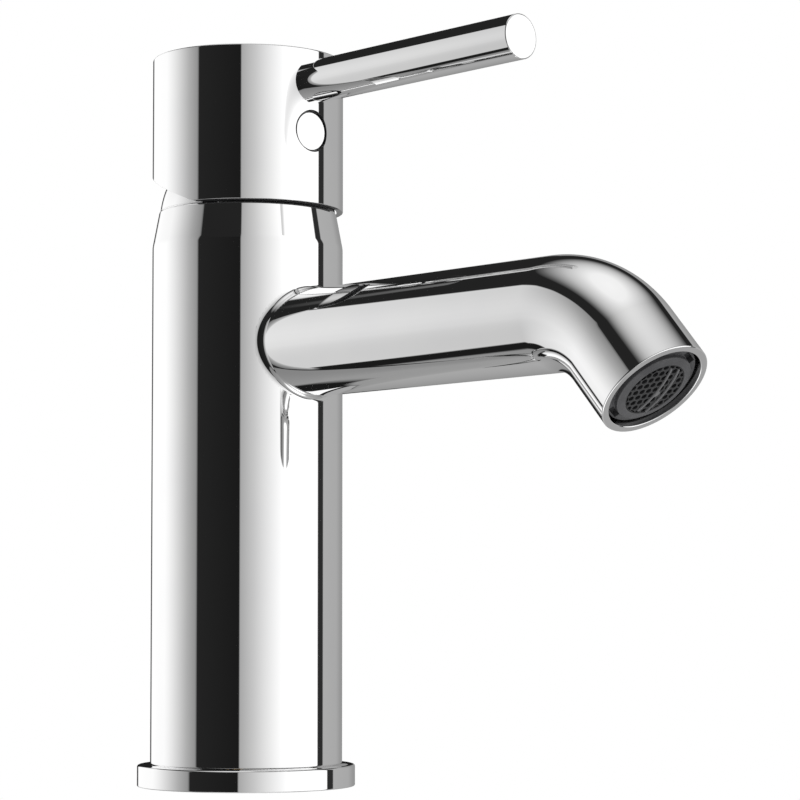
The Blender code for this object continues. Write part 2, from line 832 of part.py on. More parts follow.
def make_stem():
    stem = block(
        "lever_stem", (-STEM_HALF, -STEM_HALF, STEM_SHOULDER_Z), (STEM_HALF, STEM_HALF, STEM_TOP_Z)
    )
    join(
        stem,
        rod("stem_neck", STEM_NECK_R, (0, 0, BALL_Z), (0, 0, STEM_SHOULDER_Z + PAST), TINY_STEPS),
        ball("stem_ball", BALL_R, (0, 0, BALL_Z)),
    )
    pin_reach = STEM_HALF + PAST
    pin_ends = (-pin_reach, 0, PIVOT_Z), (pin_reach, 0, PIVOT_Z)
    cut(stem, rod("stem_pin_hole", PIN_R + GAP, *pin_ends, TINY_STEPS))
    finish(stem, "steel")


def make_cap():
    recess_top_z = PIVOT_Z + math.sqrt(CAP_RECESS_R**2 - CAP_CAVITY_R**2)
    cap = turned(
        "handle_cap",
        [
            (0, CAP_TOP_Z),
            (CAP_R - CAP_TOP_EDGE, CAP_TOP_Z),
            (CAP_R, CAP_TOP_Z - CAP_TOP_EDGE),
            (CAP_R, CAP_BOTTOM_Z + CAP_LOWER_EDGE),
            (CAP_R - CAP_LOWER_EDGE, CAP_BOTTOM_Z),
            *reversed(sphere_arc(CAP_RECESS_R, CAP_BOTTOM_Z, recess_top_z, DOME_STEPS)),
            (CAP_CAVITY_R, CAP_ROOF_Z),
            (CAP_BOSS_R, CAP_ROOF_Z),
            (CAP_BOSS_R, CAP_BOSS_BOTTOM_Z),
            (0, CAP_BOSS_BOTTOM_Z),
        ],
        BIG_STEPS,
    )
    front = block(
        "cap_front_block",
        (-FRONT_BLOCK_HALF, -CAP_CAVITY_R - PAST, FRONT_BLOCK_BOTTOM_Z),
        (FRONT_BLOCK_HALF, -CAP_BOSS_R + PAST, CAP_ROOF_Z + PAST),
    )
    join(cap, front)
    slant = block("cap_slant", (-2 * CAP_R, -2 * CAP_R, -CAP_R), (2 * CAP_R, 2 * CAP_R, 0))
    tilt = Matrix.Translation((0, CAP_SLANT_Y, CAP_BOTTOM_Z)) @ Matrix.Rotation(CAP_SLANT, 4, "X")
    slant.matrix_world = tilt @ slant.matrix_world
    socket_half = STEM_HALF + GAP
    cut(
        cap,
        slant,
        block(
            "stem_socket",
            (-socket_half, -socket_half, CAP_BOSS_BOTTOM_Z - PAST),
            (socket_half, socket_half, STEM_TOP_Z + GAP),
        ),
        rod("plug_recess", PLUG_R + GAP, (0, -CAP_R - PAST, PLUG_Z), (0, -PLUG_BACK + GAP, PLUG_Z)),
        rod("grub_bore", GRUB_R + GAP, (0, -CAP_R, PLUG_Z), (0, -GRUB_START / 2, PLUG_Z), TINY_STEPS),
        rod("lever_seat", LEVER_R + GAP, lever_point(LEVER_ROOT - GAP), lever_point(CAP_R + PAST)),
        rod("lever_thread", LEVER_THREAD_R + GAP, lever_point(LEVER_THREAD_START - GAP), lever_point(CAP_R)),
    )
    finish(cap, "chrome")


def make_lever():
    lever = turned(
        "handle_lever",
        [
            (0, LEVER_TIP),
            (LEVER_R - LEVER_EDGE, LEVER_TIP),
            (LEVER_R, LEVER_TIP - LEVER_EDGE),
            (LEVER_R, LEVER_ROOT),
            (LEVER_THREAD_R, LEVER_ROOT),
            (LEVER_THREAD_R, LEVER_THREAD_START),
            (0, LEVER_THREAD_START),
        ],
        SMALL_STEPS,
        lever_frame(),
    )
    finish(lever, "chrome")


def make_grub_and_plug():
    facing = along((0, 0, PLUG_Z), (0, -1, 0))
    grub = turned(
        "grub_screw",
        [
            (0, GRUB_END),
            (GRUB_R, GRUB_END),
            (GRUB_R, GRUB_START + GRUB_R / 2),
            (GRUB_R / 2, GRUB_START),
            (0, GRUB_START),
        ],
        TINY_STEPS,
        facing,
    )
    key_floor = (0, -GRUB_END + GRUB_KEY_DEPTH, PLUG_Z)
    cut(grub, rod("grub_key", GRUB_KEY_R, key_floor, (0, -GRUB_END - PAST, PLUG_Z), HEX_SIDES))
    finish(grub, "steel")

    plug = turned(
        "indicator_plug",
        [
            (0, PLUG_FACE),
            (PLUG_R, PLUG_FACE),
            (PLUG_R, PLUG_BACK),
            (PLUG_TAIL_R, PLUG_BACK),
            (PLUG_TAIL_R, PLUG_TAIL_END),
            (0, PLUG_TAIL_END),
        ],
        SMALL_STEPS,
        facing,
    )
    finish(plug, "chrome")


# ---- Fixing kit under the deck -------------------------------------------------------------------


def make_horseshoe(name, radius, bottom, top, kind):
    """A clamp plate on the stud, open towards the rear for the hoses."""
    plate = rod(name, radius, (0, 0, bottom), (0, 0, top), MID_STEPS)
    cut(
        plate,
        block(
            f"{name}_slot",
            (-CLAMP_SLOT_HALF, CLAMP_SLOT_Y, bottom - PAST),
            (CLAMP_SLOT_HALF, radius + PAST, top + PAST),
        ),
        rod(f"{name}_hole", STUD_R + GAP, (0, STUD_Y, bottom - PAST), (0, STUD_Y, top + PAST)),
    )
    finish(plate, kind)


def make_fixing_kit():
    stud_edge = STUD_R / 4
    stud = turned(
        "fixing_stud",
        [
            (0, STUD_TOP_Z),
            (STUD_R - stud_edge, STUD_TOP_Z),
            (STUD_R, STUD_TOP_Z - stud_edge),
            (STUD_R, STUD_BOTTOM_Z + stud_edge),
            (STUD_R - stud_edge, STUD_BOTTOM_Z),
            (0, STUD_BOTTOM_Z),
        ],
        SMALL_STEPS,
        Matrix.Translation((0, STUD_Y, 0)),
    )
    finish(stud, "steel")

    rubber_bottom = RUBBER_TOP_Z - RUBBER_H
    steel_top = rubber_bottom - GAP
    nut_top = steel_top - STEEL_H - GAP
    make_horseshoe("rubber_washer", CLAMP_R, rubber_bottom, RUBBER_TOP_Z, "rubber")
    make_horseshoe("clamp_washer", CLAMP_R, steel_top - STEEL_H, steel_top, "steel")
    nut_bottom = nut_top - NUT_H
    nut = rod("clamp_nut", NUT_CORNER_R, (0, STUD_Y, nut_bottom), (0, STUD_Y, nut_top), HEX_SIDES)
    cut(nut, rod("nut_hole", STUD_R + GAP, (0, STUD_Y, nut_bottom - PAST), (0, STUD_Y, nut_top + PAST)))
    finish(nut, "brass")


# ---- Assembly ------------------------------------------------------------------------------------


def joint_empty(name, place, parent=None):
    """An empty on a joint's axis."""
    empty = bpy.data.objects.new(name, None)
    empty.empty_display_size = 0.02
    empty.matrix_world = Matrix.Translation(place)
    collection("mixer_faucet").objects.link(empty)
    bpy.context.view_layer.update()
    hang(empty, parent)
    return empty


def hang(obj, parent):
    """Parents obj where it stands."""
    if parent is None:
        return
    obj.parent = parent
    obj.matrix_parent_inverse = parent.matrix_world.inverted()
    bpy.context.view_layer.update()


def main():
    for obj in list(bpy.data.objects):
        bpy.data.objects.remove(obj, do_unlink=True)
    make_flange()
    make_body()
    make_base_block()
    make_core()
    make_spout()
    make_connector()
    make_aerator()
    make_cartridge_base()
    make_discs()
    make_cartridge_housing()
    make_retaining_nut()
    make_dome()
    make_guide()
    make_stem()
    make_cap()
    make_lever()
    make_grub_and_plug()
    make_fixing_kit()

    turn = joint_empty("temperature_turn_axis", (0, 0, PIVOT_Z))
    lift = joint_empty("lever_lift_axis", (0, 0, PIVOT_Z), turn)
    slide = joint_empty("disc_slide_axis", (0, 0, MOVING_DISC_TOP_Z), turn)
    movers = {
        turn: ("stem_guide", "pivot_pin"),
        lift: ("lever_stem", "handle_cap", "handle_lever", "grub_screw", "indicator_plug"),
        slide: ("moving_ceramic_disc", "disc_carrier"),
    }
    for axis, names in movers.items():
        for name in names:
            hang(bpy.data.objects[name], axis)


main()
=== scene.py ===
"""Looks of the single-lever bathroom mixer faucet.

Smooth pieces stand for the CAD's outer nodes, and ride on the same bodies. The other nodes keep their CAD
shape and get a material. A studio drawn by direction lights them. Metres, +Z up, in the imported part's frame.
"""

import json
import math

import bmesh
import bpy
from mathutils import Matrix, Vector

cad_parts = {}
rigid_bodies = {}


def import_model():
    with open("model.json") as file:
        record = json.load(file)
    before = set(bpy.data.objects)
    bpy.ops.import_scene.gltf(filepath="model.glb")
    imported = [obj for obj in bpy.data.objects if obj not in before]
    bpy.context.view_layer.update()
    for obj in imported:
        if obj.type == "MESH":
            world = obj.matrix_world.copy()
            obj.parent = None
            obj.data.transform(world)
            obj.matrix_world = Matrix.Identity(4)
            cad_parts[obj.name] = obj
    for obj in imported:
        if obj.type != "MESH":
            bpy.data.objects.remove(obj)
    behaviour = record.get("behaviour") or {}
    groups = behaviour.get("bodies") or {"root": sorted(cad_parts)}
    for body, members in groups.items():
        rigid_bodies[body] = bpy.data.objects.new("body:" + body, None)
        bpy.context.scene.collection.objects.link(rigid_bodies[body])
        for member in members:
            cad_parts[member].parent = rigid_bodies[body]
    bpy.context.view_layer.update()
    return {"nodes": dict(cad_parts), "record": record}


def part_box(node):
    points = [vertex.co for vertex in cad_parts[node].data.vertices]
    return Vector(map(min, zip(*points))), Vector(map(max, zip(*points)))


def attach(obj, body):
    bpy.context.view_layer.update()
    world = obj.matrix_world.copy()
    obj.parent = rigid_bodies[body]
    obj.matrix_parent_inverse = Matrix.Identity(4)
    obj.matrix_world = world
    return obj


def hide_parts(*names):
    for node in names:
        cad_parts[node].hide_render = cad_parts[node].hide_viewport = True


for startup in list(bpy.data.objects):
    bpy.data.objects.remove(startup, do_unlink=True)
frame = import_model()

# ---- Sizes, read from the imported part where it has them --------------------

MM = 0.001
SEGMENTS = 192  # sides of the large round pieces
SMALL_SEGMENTS = 96  # sides of the small ones
ARC_STEPS = 7  # steps in a rounded edge
SUPPORT = 0.05 * MM  # distance of the loops that keep a rounded edge's shading to itself

_, flange_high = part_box("base_flange")
_, gasket_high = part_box("base_gasket")
body_low, body_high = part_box("main_body")
block_low, block_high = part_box("base_block")
cap_low, cap_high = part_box("handle_cap")
dome_low, dome_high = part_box("dome_cover")
plug_low, plug_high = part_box("indicator_plug")
stud_low, stud_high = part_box("fixing_stud")
nut_low, nut_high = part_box("clamp_nut")

FLANGE_R = flange_high.x
FLANGE_H = 4.95 * MM
FLANGE_BORE_R = 17.2 * MM
GROOVE_IN_R = 19.2 * MM  # the gasket's groove
GROOVE_OUT_R = 22.6 * MM
GROOVE_TOP_Z = 2.2 * MM
GASKET_GAP = 0.3 * MM
BODY_R = body_high.x
BODY_BORE_R = 19.7 * MM
BODY_BOTTOM_Z = body_low.z
RIM_Z = body_high.z
SPIGOT_R = BODY_BORE_R - 0.3 * MM  # what fits in the body's bore, at either end
PIVOT_Z = 132.8 * MM
KINK_Z = 126.5 * MM  # where the body starts to taper towards its rim
RIM_R = 20.9 * MM

DOME_R = 20.8 * MM
DOME_WALL = 1.2 * MM
DOME_SKIRT_R = 18 * MM
DOME_FALL = 10.3 * MM  # from the dome's top to the ball's lowest row
DOME_INNER_FALL = 9.1 * MM  # the same on the inside
DOME_ROWS = 24

CAP_R = cap_high.x
CAP_LOW_Z = cap_low.z
CAP_TOP_Z = cap_high.z
CAP_RECESS_R = 21.2 * MM
CAP_CAVITY_R = 18.5 * MM
CAP_ROOF_Z = 165 * MM
CAP_BOSS_R = 6.8 * MM
CAP_BOSS_LOW_Z = 142 * MM
CAP_SLANT_Y = -5 * MM
CAP_SLANT = math.tan(math.radians(22.05))
CAP_LOW_EDGE = 0.12 * MM
CAP_TOP_EDGE = 0.3 * MM
CAP_WALL_ROWS = 14
CAP_INSIDE_ROWS = 24

# Painted shade in the dark gap between the cap and the body
SEAM_DOME_BACK = 1 * MM  # how far in front of the slant the dome's rows of painted shade end
SEAM_EDGE_END = 10.5 * MM  # x where the painted shade on the cap's lower edge ends
SEAM_RECESS_END = 11.5 * MM  # x where the painted shade on the recess's wall ends
SEAM_RECESS_RISE = 2 * MM  # how far up the recess's wall it goes

SPOUT_R = 12.41 * MM
SPOUT_AXIS_Z = 102.36 * MM
SPOUT_RISE = math.radians(0.69)
SPOUT_STRAIGHT = 98.2 * MM
SPOUT_BEND_R = 23.4 * MM
SPOUT_DROP = math.radians(48.7)
SPOUT_NOSE = 12.7 * MM
SPOUT_WELD = 1.25 * MM
WELD_STEPS = 16
STRAIGHT_STATIONS = (26, 27, 40, 60, 80, 90, 96, 98)  # millimetres from the body's axis
BEND_STEPS = 56
NOSE_BORE_R = 10.83 * MM
NOSE_BORE_DEPTH = 13 * MM
SPOUT_BORE_R = 9.9 * MM

NOZZLE_R = 8.75 * MM
EYE_R = 6.9 * MM
AERATOR_R = 10.45 * MM
SLEEVE_R = 8.4 * MM  # bore of the aerator's body, behind the lip
AERATOR_FACE = 1.5 * MM  # depths behind the rim
AERATOR_LIP = 2.7 * MM
AERATOR_END = 10.6 * MM
KEY_TURN = math.radians(61.5)
SCREEN_SET = 0.1 * MM
SCREEN_CROWN = 0.1 * MM
SCREEN_DEPTH = 0.9 * MM
SCREEN_SEAT_R = 8.2 * MM
SCREEN_SEAT_HIGH = -3 * MM
SCREEN_SEAT_LOW = -5.2 * MM
SCREEN_HOLE_R = 0.64 * MM
MOUTH_WIDTH = 0.09 * MM
CELL_FIRST = 1.59, 0.48  # millimetres from a hole to two of its neighbours
CELL_SECOND = 0.06, -1.635
CELL_SIDE_STEPS = 4
RIBS = [(-0.17 * MM, 0.022), (2.28 * MM, 0.037)]  # where each rib's ends are across the screen, and its slant
RIB_BOW = 1.08 * MM
RIB_REACH = 6.1 * MM
RIB_HALF = 0.26 * MM
RIB_RISE = 0.3 * MM
RIB_ROWS, RIB_SIDES = 40, 10
PAD_SPOT = 1.44 * MM, -1.1 * MM
PAD_RINGS = [(0.85, -0.2), (0.82, -0.02), (0.7, 0.01)]  # radius and height in millimetres
PAD_STEPS = 24

LEVER_R = 4.94 * MM
LEVER_AXIS_Z = 163.03 * MM
LEVER_RISE = math.radians(0.72)
LEVER_ROOT = 20.3 * MM
LEVER_TIP = 87.93 * MM
LEVER_THREAD_R = 2.95 * MM
LEVER_THREAD_END = 9.5 * MM
PLUG_Z = (plug_low.z + plug_high.z) / 2
PLUG_R = plug_high.x - 0.1 * MM
PLUG_FACE = -plug_low.y - 0.2 * MM
PLUG_BACK = 20.6 * MM
PLUG_STEM_R = 2.4 * MM
PLUG_STEM_END = 17 * MM
RECESS_R = 4.9 * MM
RECESS_DEPTH = 1.6 * MM

STUD_Y = (stud_low.y + stud_high.y) / 2
STUD_R = stud_high.x
STUD_PITCH = 1.25 * MM
STUD_COLUMNS, STUD_ROWS_PER_TURN = 48, 10
STUD_CHAMFER = 0.9 * MM
THREAD_DEPTH = 0.55 * MM
NUT_HOLE_R = 4.1 * MM
NUT_CHAMFER = math.tan(math.radians(30))
NUT_CHAMFER_START = 0.985  # share of the distance across the flats
NUT_SHARES = (0, 0.12, 0.5, 0.9, 1.0)  # rings from the hole to the hexagon's edge
STUD_HOLE_R = 4.3 * MM
WASHER_SLOT_HALF = 15.5 * MM
WASHER_SLOT_Y = -3 * MM
BLOCK_R = 16.9 * MM
HOSE_WAY_X, HOSE_WAY_Y, HOSE_WAY_R = 8.5 * MM, 5.5 * MM, 6.2 * MM

# ---- Materials --------------------

MIX_A, MIX_B, MIX_RESULT = 6, 7, 2  # a Mix node's sockets for colours


class Finish:
    """A material on the Principled shader, with short ways to add nodes in object coordinates."""

    def __init__(self, name, colour, roughness, metallic=0.0):
        self.material = bpy.data.materials.new(name)
        self.material.use_nodes = True
        self.nodes = self.material.node_tree.nodes
        self.links = self.material.node_tree.links
        self.shader = self.nodes["Principled BSDF"]
        self.shader.inputs["Base Color"].default_value = (*colour, 1.0)
        self.shader.inputs["Roughness"].default_value = roughness
        self.shader.inputs["Metallic"].default_value = metallic
        self.place = self.nodes.new("ShaderNodeTexCoord").outputs["Object"]

    def noise(self, size, detail=4.0, stretch=(1, 1, 1), distortion=0.0):
        """Noise whose features are about size across, stretched along the axes."""
        mapping = self.nodes.new("ShaderNodeMapping")
        mapping.inputs["Scale"].default_value = stretch
        self.links.new(self.place, mapping.inputs["Vector"])
        texture = self.nodes.new("ShaderNodeTexNoise")
        texture.inputs["Scale"].default_value = 1.0 / size
        texture.inputs["Detail"].default_value = detail
        texture.inputs["Distortion"].default_value = distortion
        self.links.new(mapping.outputs["Vector"], texture.inputs["Vector"])
        return texture.outputs["Fac"]

    def ramp(self, value, stops):
        """A colour ramp through (position, colour or grey) stops."""
        ramp = self.nodes.new("ShaderNodeValToRGB")
        band = ramp.color_ramp
        while len(band.elements) < len(stops):
            band.elements.new(0.5)
        for element, (position, colour) in zip(band.elements, stops):
            element.position = position
            element.color = (*colour, 1.0) if isinstance(colour, tuple) else (colour, colour, colour, 1.0)
        self.links.new(value, ramp.inputs["Fac"])
        return ramp.outputs["Color"]

    def mix(self, kind, factor, first, second):
        """One colour over another."""
        node = self.nodes.new("ShaderNodeMix")
        node.data_type = "RGBA"
        node.blend_type = kind
        node.inputs["Factor"].default_value = factor
        self.links.new(first, node.inputs[MIX_A])
        self.links.new(second, node.inputs[MIX_B])
        return node.outputs[MIX_RESULT]

    def set(self, socket, value):
        self.links.new(value, self.shader.inputs[socket])

    def bump(self, height, strength, distance):
        node = self.nodes.new("ShaderNodeBump")
        node.inputs["Strength"].default_value = strength
        node.inputs["Distance"].default_value = distance
        self.links.new(height, node.inputs["Height"])
        self.set("Normal", node.outputs["Normal"])


def chrome_finish(name, brightness, roughness):
    """Polished plate: a faint cloudiness, wipe marks and pin-fine polishing lines."""
    finish = Finish(name, (brightness,) * 3, roughness, 1.0)
    cloud = finish.noise(14 * MM, 3.0)
    low, high = brightness * 0.985, brightness * 1.01
    tint = finish.ramp(cloud, [(0.3, (low, low, low * 1.004)), (0.7, (high, high * 0.999, high * 0.996))])
    finish.set("Base Color", tint)
    wipes = finish.noise(9 * MM, 5.0, (1.0, 1.0, 0.22), 1.2)
    grain = finish.noise(0.7 * MM, 2.0, (1.0, 1.0, 0.05))
    smudge = finish.ramp(wipes, [(0.45, roughness), (0.62, roughness * 1.25), (0.75, roughness * 1.9)])
    lines = finish.ramp(grain, [(0.35, roughness * 0.9), (0.65, roughness * 1.15)])
    finish.set("Roughness", finish.mix("MIX", 0.5, smudge, lines))
    finish.bump(finish.noise(22 * MM, 1.0), 0.02, 0.05 * MM)
    return finish.material


def cast_finish(name, dark, light, roughness, grain, metallic=1.0, tool_marks=False):
    """Machined, plated or lapped stock: tone patches, fine grain and, if asked, tool marks round the axis."""
    finish = Finish(name, light, roughness, metallic)
    patches = finish.noise(6 * MM, 5.0, distortion=0.6)
    fine = finish.noise(grain, 3.0)
    tone = finish.ramp(patches, [(0.32, dark), (0.68, light)])
    shade = finish.ramp(fine, [(0.3, 0.86), (0.6, 1.0)])
    finish.set("Base Color", finish.mix("MULTIPLY", 0.6, tone, shade))
    finish.set("Roughness", finish.ramp(fine, [(0.3, roughness * 0.8), (0.7, min(1.0, roughness * 1.3))]))
    if tool_marks:
        finish.bump(finish.noise(0.5 * MM, 2.0, (0.04, 0.04, 1.0)), 0.25, 0.02 * MM)
    else:
        finish.bump(fine, 0.2, 0.03 * MM)
    return finish.material


def moulded_finish(name, dark, light, roughness, grain=0.35 * MM):
    """Moulded plastic: slow tone change, fine spark-eroded grain and a few scuffs."""
    finish = Finish(name, light, roughness)
    tone = finish.ramp(finish.noise(5 * MM, 3.0), [(0.3, dark), (0.7, light)])
    scuffs = finish.ramp(finish.noise(2.2 * MM, 6.0, (1.0, 0.3, 1.0), 1.5), [(0.6, 1.0), (0.72, 1.25)])
    finish.set("Base Color", finish.mix("MULTIPLY", 1.0, tone, scuffs))
    fine = finish.noise(grain, 2.0)
    finish.set("Roughness", finish.ramp(fine, [(0.3, roughness * 0.82), (0.7, min(1.0, roughness * 1.2))]))
    finish.bump(fine, 0.18, 0.02 * MM)
    return finish.material


def rubber_finish(name):
    """Matt black rubber with bloom and moulding grain."""
    finish = Finish(name, (0.02, 0.02, 0.02), 0.75)
    bloom = finish.noise(3 * MM, 6.0, distortion=0.8)
    tone = finish.ramp(bloom, [(0.35, (0.012, 0.012, 0.013)), (0.75, (0.045, 0.044, 0.042))])
    finish.set("Base Color", tone)
    finish.set("Roughness", finish.ramp(bloom, [(0.3, 0.62), (0.7, 0.86)]))
    finish.bump(finish.noise(0.25 * MM, 3.0), 0.35, 0.03 * MM)
    return finish.material


CHROME = chrome_finish("polished_chrome", 0.93, 0.022)
BORE_CHROME = chrome_finish("bore_chrome", 0.62, 0.09)
BRASS = cast_finish("machined_brass", (0.53, 0.36, 0.14), (0.74, 0.56, 0.27), 0.27, 0.3 * MM, tool_marks=True)
STEEL = cast_finish("zinc_steel", (0.45, 0.46, 0.47), (0.62, 0.63, 0.64), 0.34, 0.4 * MM)
RUBBER = rubber_finish("black_rubber")
GREY_PLASTIC = moulded_finish("grey_plastic", (0.052, 0.052, 0.055), (0.075, 0.075, 0.078), 0.42)
SCREEN_PLASTIC = moulded_finish("screen_plastic", (0.019, 0.019, 0.02), (0.03, 0.03, 0.031), 0.45)
# The screen's plastic made lighter for the raised ribs and the gate pad: painted light
RIB_LIT_PLASTIC = moulded_finish("rib_plastic_painted_light", (0.13, 0.13, 0.133), (0.16, 0.16, 0.163), 0.42)
WHITE_PLASTIC = moulded_finish("white_plastic", (0.66, 0.65, 0.61), (0.77, 0.76, 0.72), 0.42)
# Near-black material that paints shade into the gaps under the cap, on the dome's front rows and on the wall
# of the plug's recess
SEAM_SHADE = moulded_finish("seam_painted_shade", (0.012, 0.012, 0.013), (0.02, 0.02, 0.021), 0.45)
CERAMIC = cast_finish("lapped_ceramic", (0.8, 0.79, 0.76), (0.89, 0.88, 0.85), 0.16, 0.5 * MM, 0.0)

SLOT_MATERIALS = {
    "chrome": CHROME,
    "brass": BRASS,
    "steel": STEEL,
    "rubber": RUBBER,
    "grey_plastic": GREY_PLASTIC,
    "white_plastic": WHITE_PLASTIC,
    "ceramic": CERAMIC,
}
node_slots = {part["node"]: part["material_slot"] for part in frame["record"]["subparts"]}
for node_name, cad_node in frame["nodes"].items():
    cad_node.data.materials.clear()
    cad_node.data.materials.append(SLOT_MATERIALS[node_slots[node_name]])

# ---- Shape helpers --------------------


def solid(name, points, faces, place=None):
    """A new object from points and faces, with the faces turned outwards."""
    mesh = bpy.data.meshes.new(name)
    mesh.from_pydata([tuple(point) for point in points], [], faces)
    if place is not None:
        mesh.transform(place)
    shape = bmesh.new()
    shape.from_mesh(mesh)
    bmesh.ops.recalc_face_normals(shape, faces=shape.faces)
    shape.to_mesh(mesh)
    shape.free()
    obj = bpy.data.objects.new(name, mesh)
    bpy.context.scene.collection.objects.link(obj)
    return obj


def piece(name, points, faces, material, nodes, place=None):
    """A smooth solid in place of CAD nodes."""
    obj = solid(name, points, faces, place)
    obj.data.materials.append(material)
    obj.data.shade_smooth()
    return claim(obj, nodes)


def claim(obj, nodes):
    """Puts the piece in place of the nodes, on the first node's body."""
    bodies = frame["record"]["behaviour"]["bodies"]
    body = next(name for name, members in bodies.items() if nodes[0] in members)
    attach(obj, body)
    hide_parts(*nodes)
    return obj


def rounded(corners, closed=False):
    """(radius, height) points through (radius, height, edge) corners, each edge an arc of that radius."""
    count = len(corners)
    points = []
    for i, (r, z, edge) in enumerate(corners):
        here = Vector((r, z))
        if edge <= 0 or (not closed and i in (0, count - 1)):
            points.append(here)
            continue
        before = Vector(corners[i - 1][:2]) - here
        after = Vector(corners[(i + 1) % count][:2]) - here
        half = before.angle(after) / 2
        reach = edge / math.tan(half)
        start = before.normalized() * reach
        end = after.normalized() * reach
        centre = (before.normalized() + after.normalized()).normalized() * (edge / math.sin(half))
        points.append(here + before.normalized() * (reach + SUPPORT))
        first, last = start - centre, end - centre
        for k in range(ARC_STEPS + 1):
            points.append(here + centre + first.slerp(last, k / ARC_STEPS).normalized() * edge)
        points.append(here + after.normalized() * (reach + SUPPORT))
    return points


def grid_faces(rows, columns, close_rows=False):
    """Quads over rows of points, each row a ring."""
    faces = []
    for i in range(rows if close_rows else rows - 1):
        for k in range(columns):
            nxt = (k + 1) % columns
            below = (i + 1) % rows
            faces.append((i * columns + k, i * columns + nxt, below * columns + nxt, below * columns + k))
    return faces


def closed_faces(rows, columns):
    """The faces over rows of points, with a flat face at each end."""
    faces = grid_faces(rows, columns)
    faces.append(tuple(range(columns)))
    faces.append(tuple(range((rows - 1) * columns, rows * columns)))
    return faces


def lathe(name, profile, material, nodes, segments=SEGMENTS, place=None, closed=False):
    """A turned piece. An open profile starts and ends on the axis."""
    rings = profile if closed else profile[1:-1]
    points = []
    for r, z in rings:
        for k in range(segments):
            angle = 2 * math.pi * k / segments
            points.append((r * math.cos(angle), r * math.sin(angle), z))
    faces = grid_faces(len(rings), segments, closed)
    if not closed:
        faces += cap_fans(points, len(rings), segments, profile[0][1], profile[-1][1])
    return piece(name, points, faces, material, nodes, place)


def cap_fans(points, rings, segments, start_z, end_z):
    """Adds the two end points on the axis, and gives the fans that join them to the first and last ring."""
    points.append((0, 0, start_z))
    points.append((0, 0, end_z))
    start, end = len(points) - 2, len(points) - 1
    last = (rings - 1) * segments
    faces = []
    for k in range(segments):
        nxt = (k + 1) % segments
        faces.append((start, nxt, k))
        faces.append((end, last + k, last + nxt))
    return faces


def plate(name, outline, holes, low_z, high_z, edge, material, nodes):
    """A flat plate with rounded edges: a closed outline and holes, each a list of (x, y)."""
    curve = bpy.data.curves.new(name + "_outline", "CURVE")
    curve.dimensions = "2D"
    curve.fill_mode = "BOTH"
    curve.extrude = (high_z - low_z) / 2 - edge
    curve.bevel_depth = edge
    curve.bevel_resolution = 3
    curve.offset = -edge
    for loop in (outline, *holes):
        spline = curve.splines.new("POLY")
        spline.points.add(len(loop) - 1)
        for spot, (x, y) in zip(spline.points, loop):
            spot.co = (x, y, 0, 1)
        spline.use_cyclic_u = True
    guide = bpy.data.objects.new(name + "_guide", curve)
    bpy.context.scene.collection.objects.link(guide)
    bpy.context.view_layer.update()
    mesh = bpy.data.meshes.new_from_object(guide.evaluated_get(bpy.context.evaluated_depsgraph_get()))
    bpy.data.objects.remove(guide)
    mesh.transform(Matrix.Translation((0, 0, (low_z + high_z) / 2)))
    mesh.name = name
    mesh.materials.clear()
    mesh.materials.append(material)
    shape = bmesh.new()
    shape.from_mesh(mesh)
    bmesh.ops.remove_doubles(shape, verts=shape.verts, dist=0.002 * MM)
    bmesh.ops.recalc_face_normals(shape, faces=shape.faces)
    shape.to_mesh(mesh)
    shape.free()
    mesh.shade_smooth()
    mesh.set_sharp_from_angle(angle=math.radians(30))
    obj = bpy.data.objects.new(name, mesh)
    bpy.context.scene.collection.objects.link(obj)
    return claim(obj, nodes)


def circle(x, y, radius, steps=SMALL_SEGMENTS, start=0.0, turn=2 * math.pi):
    """(x, y) points round a circle, or along part of it."""
    whole = abs(turn) >= 2 * math.pi
    count = steps if whole else steps + 1
    return [
        (x + radius * math.cos(start + turn * k / steps), y + radius * math.sin(start + turn * k / steps))
        for k in range(count)
    ]


def along(origin, direction):
    """A matrix whose Z axis points along direction from origin."""
    return Matrix.Translation(Vector(origin)) @ Vector(direction).to_track_quat("Z", "Y").to_matrix().to_4x4()


def cut(obj, tool_points, tool_faces, place=None):
    """Takes a closed shape away from obj."""
    tool = solid("cutter", tool_points, tool_faces, place)
    step = obj.modifiers.new("Cut", "BOOLEAN")
    step.operation = "DIFFERENCE"
    step.solver = "EXACT"
    step.object = tool
    bpy.context.view_layer.update()
    result = bpy.data.meshes.new_from_object(obj.evaluated_get(bpy.context.evaluated_depsgraph_get()))
    obj.modifiers.clear()
    obj.data = result
    bpy.data.objects.remove(tool)


def drum(radius, low, high, steps=SMALL_SEGMENTS):
    """Points and faces of a closed round bar along Z, as a cutter."""
    points = [(x, y, z) for z in (low, high) for x, y in circle(0, 0, radius, steps)]
    return points, closed_faces(2, steps)


# ---- Body --------------------


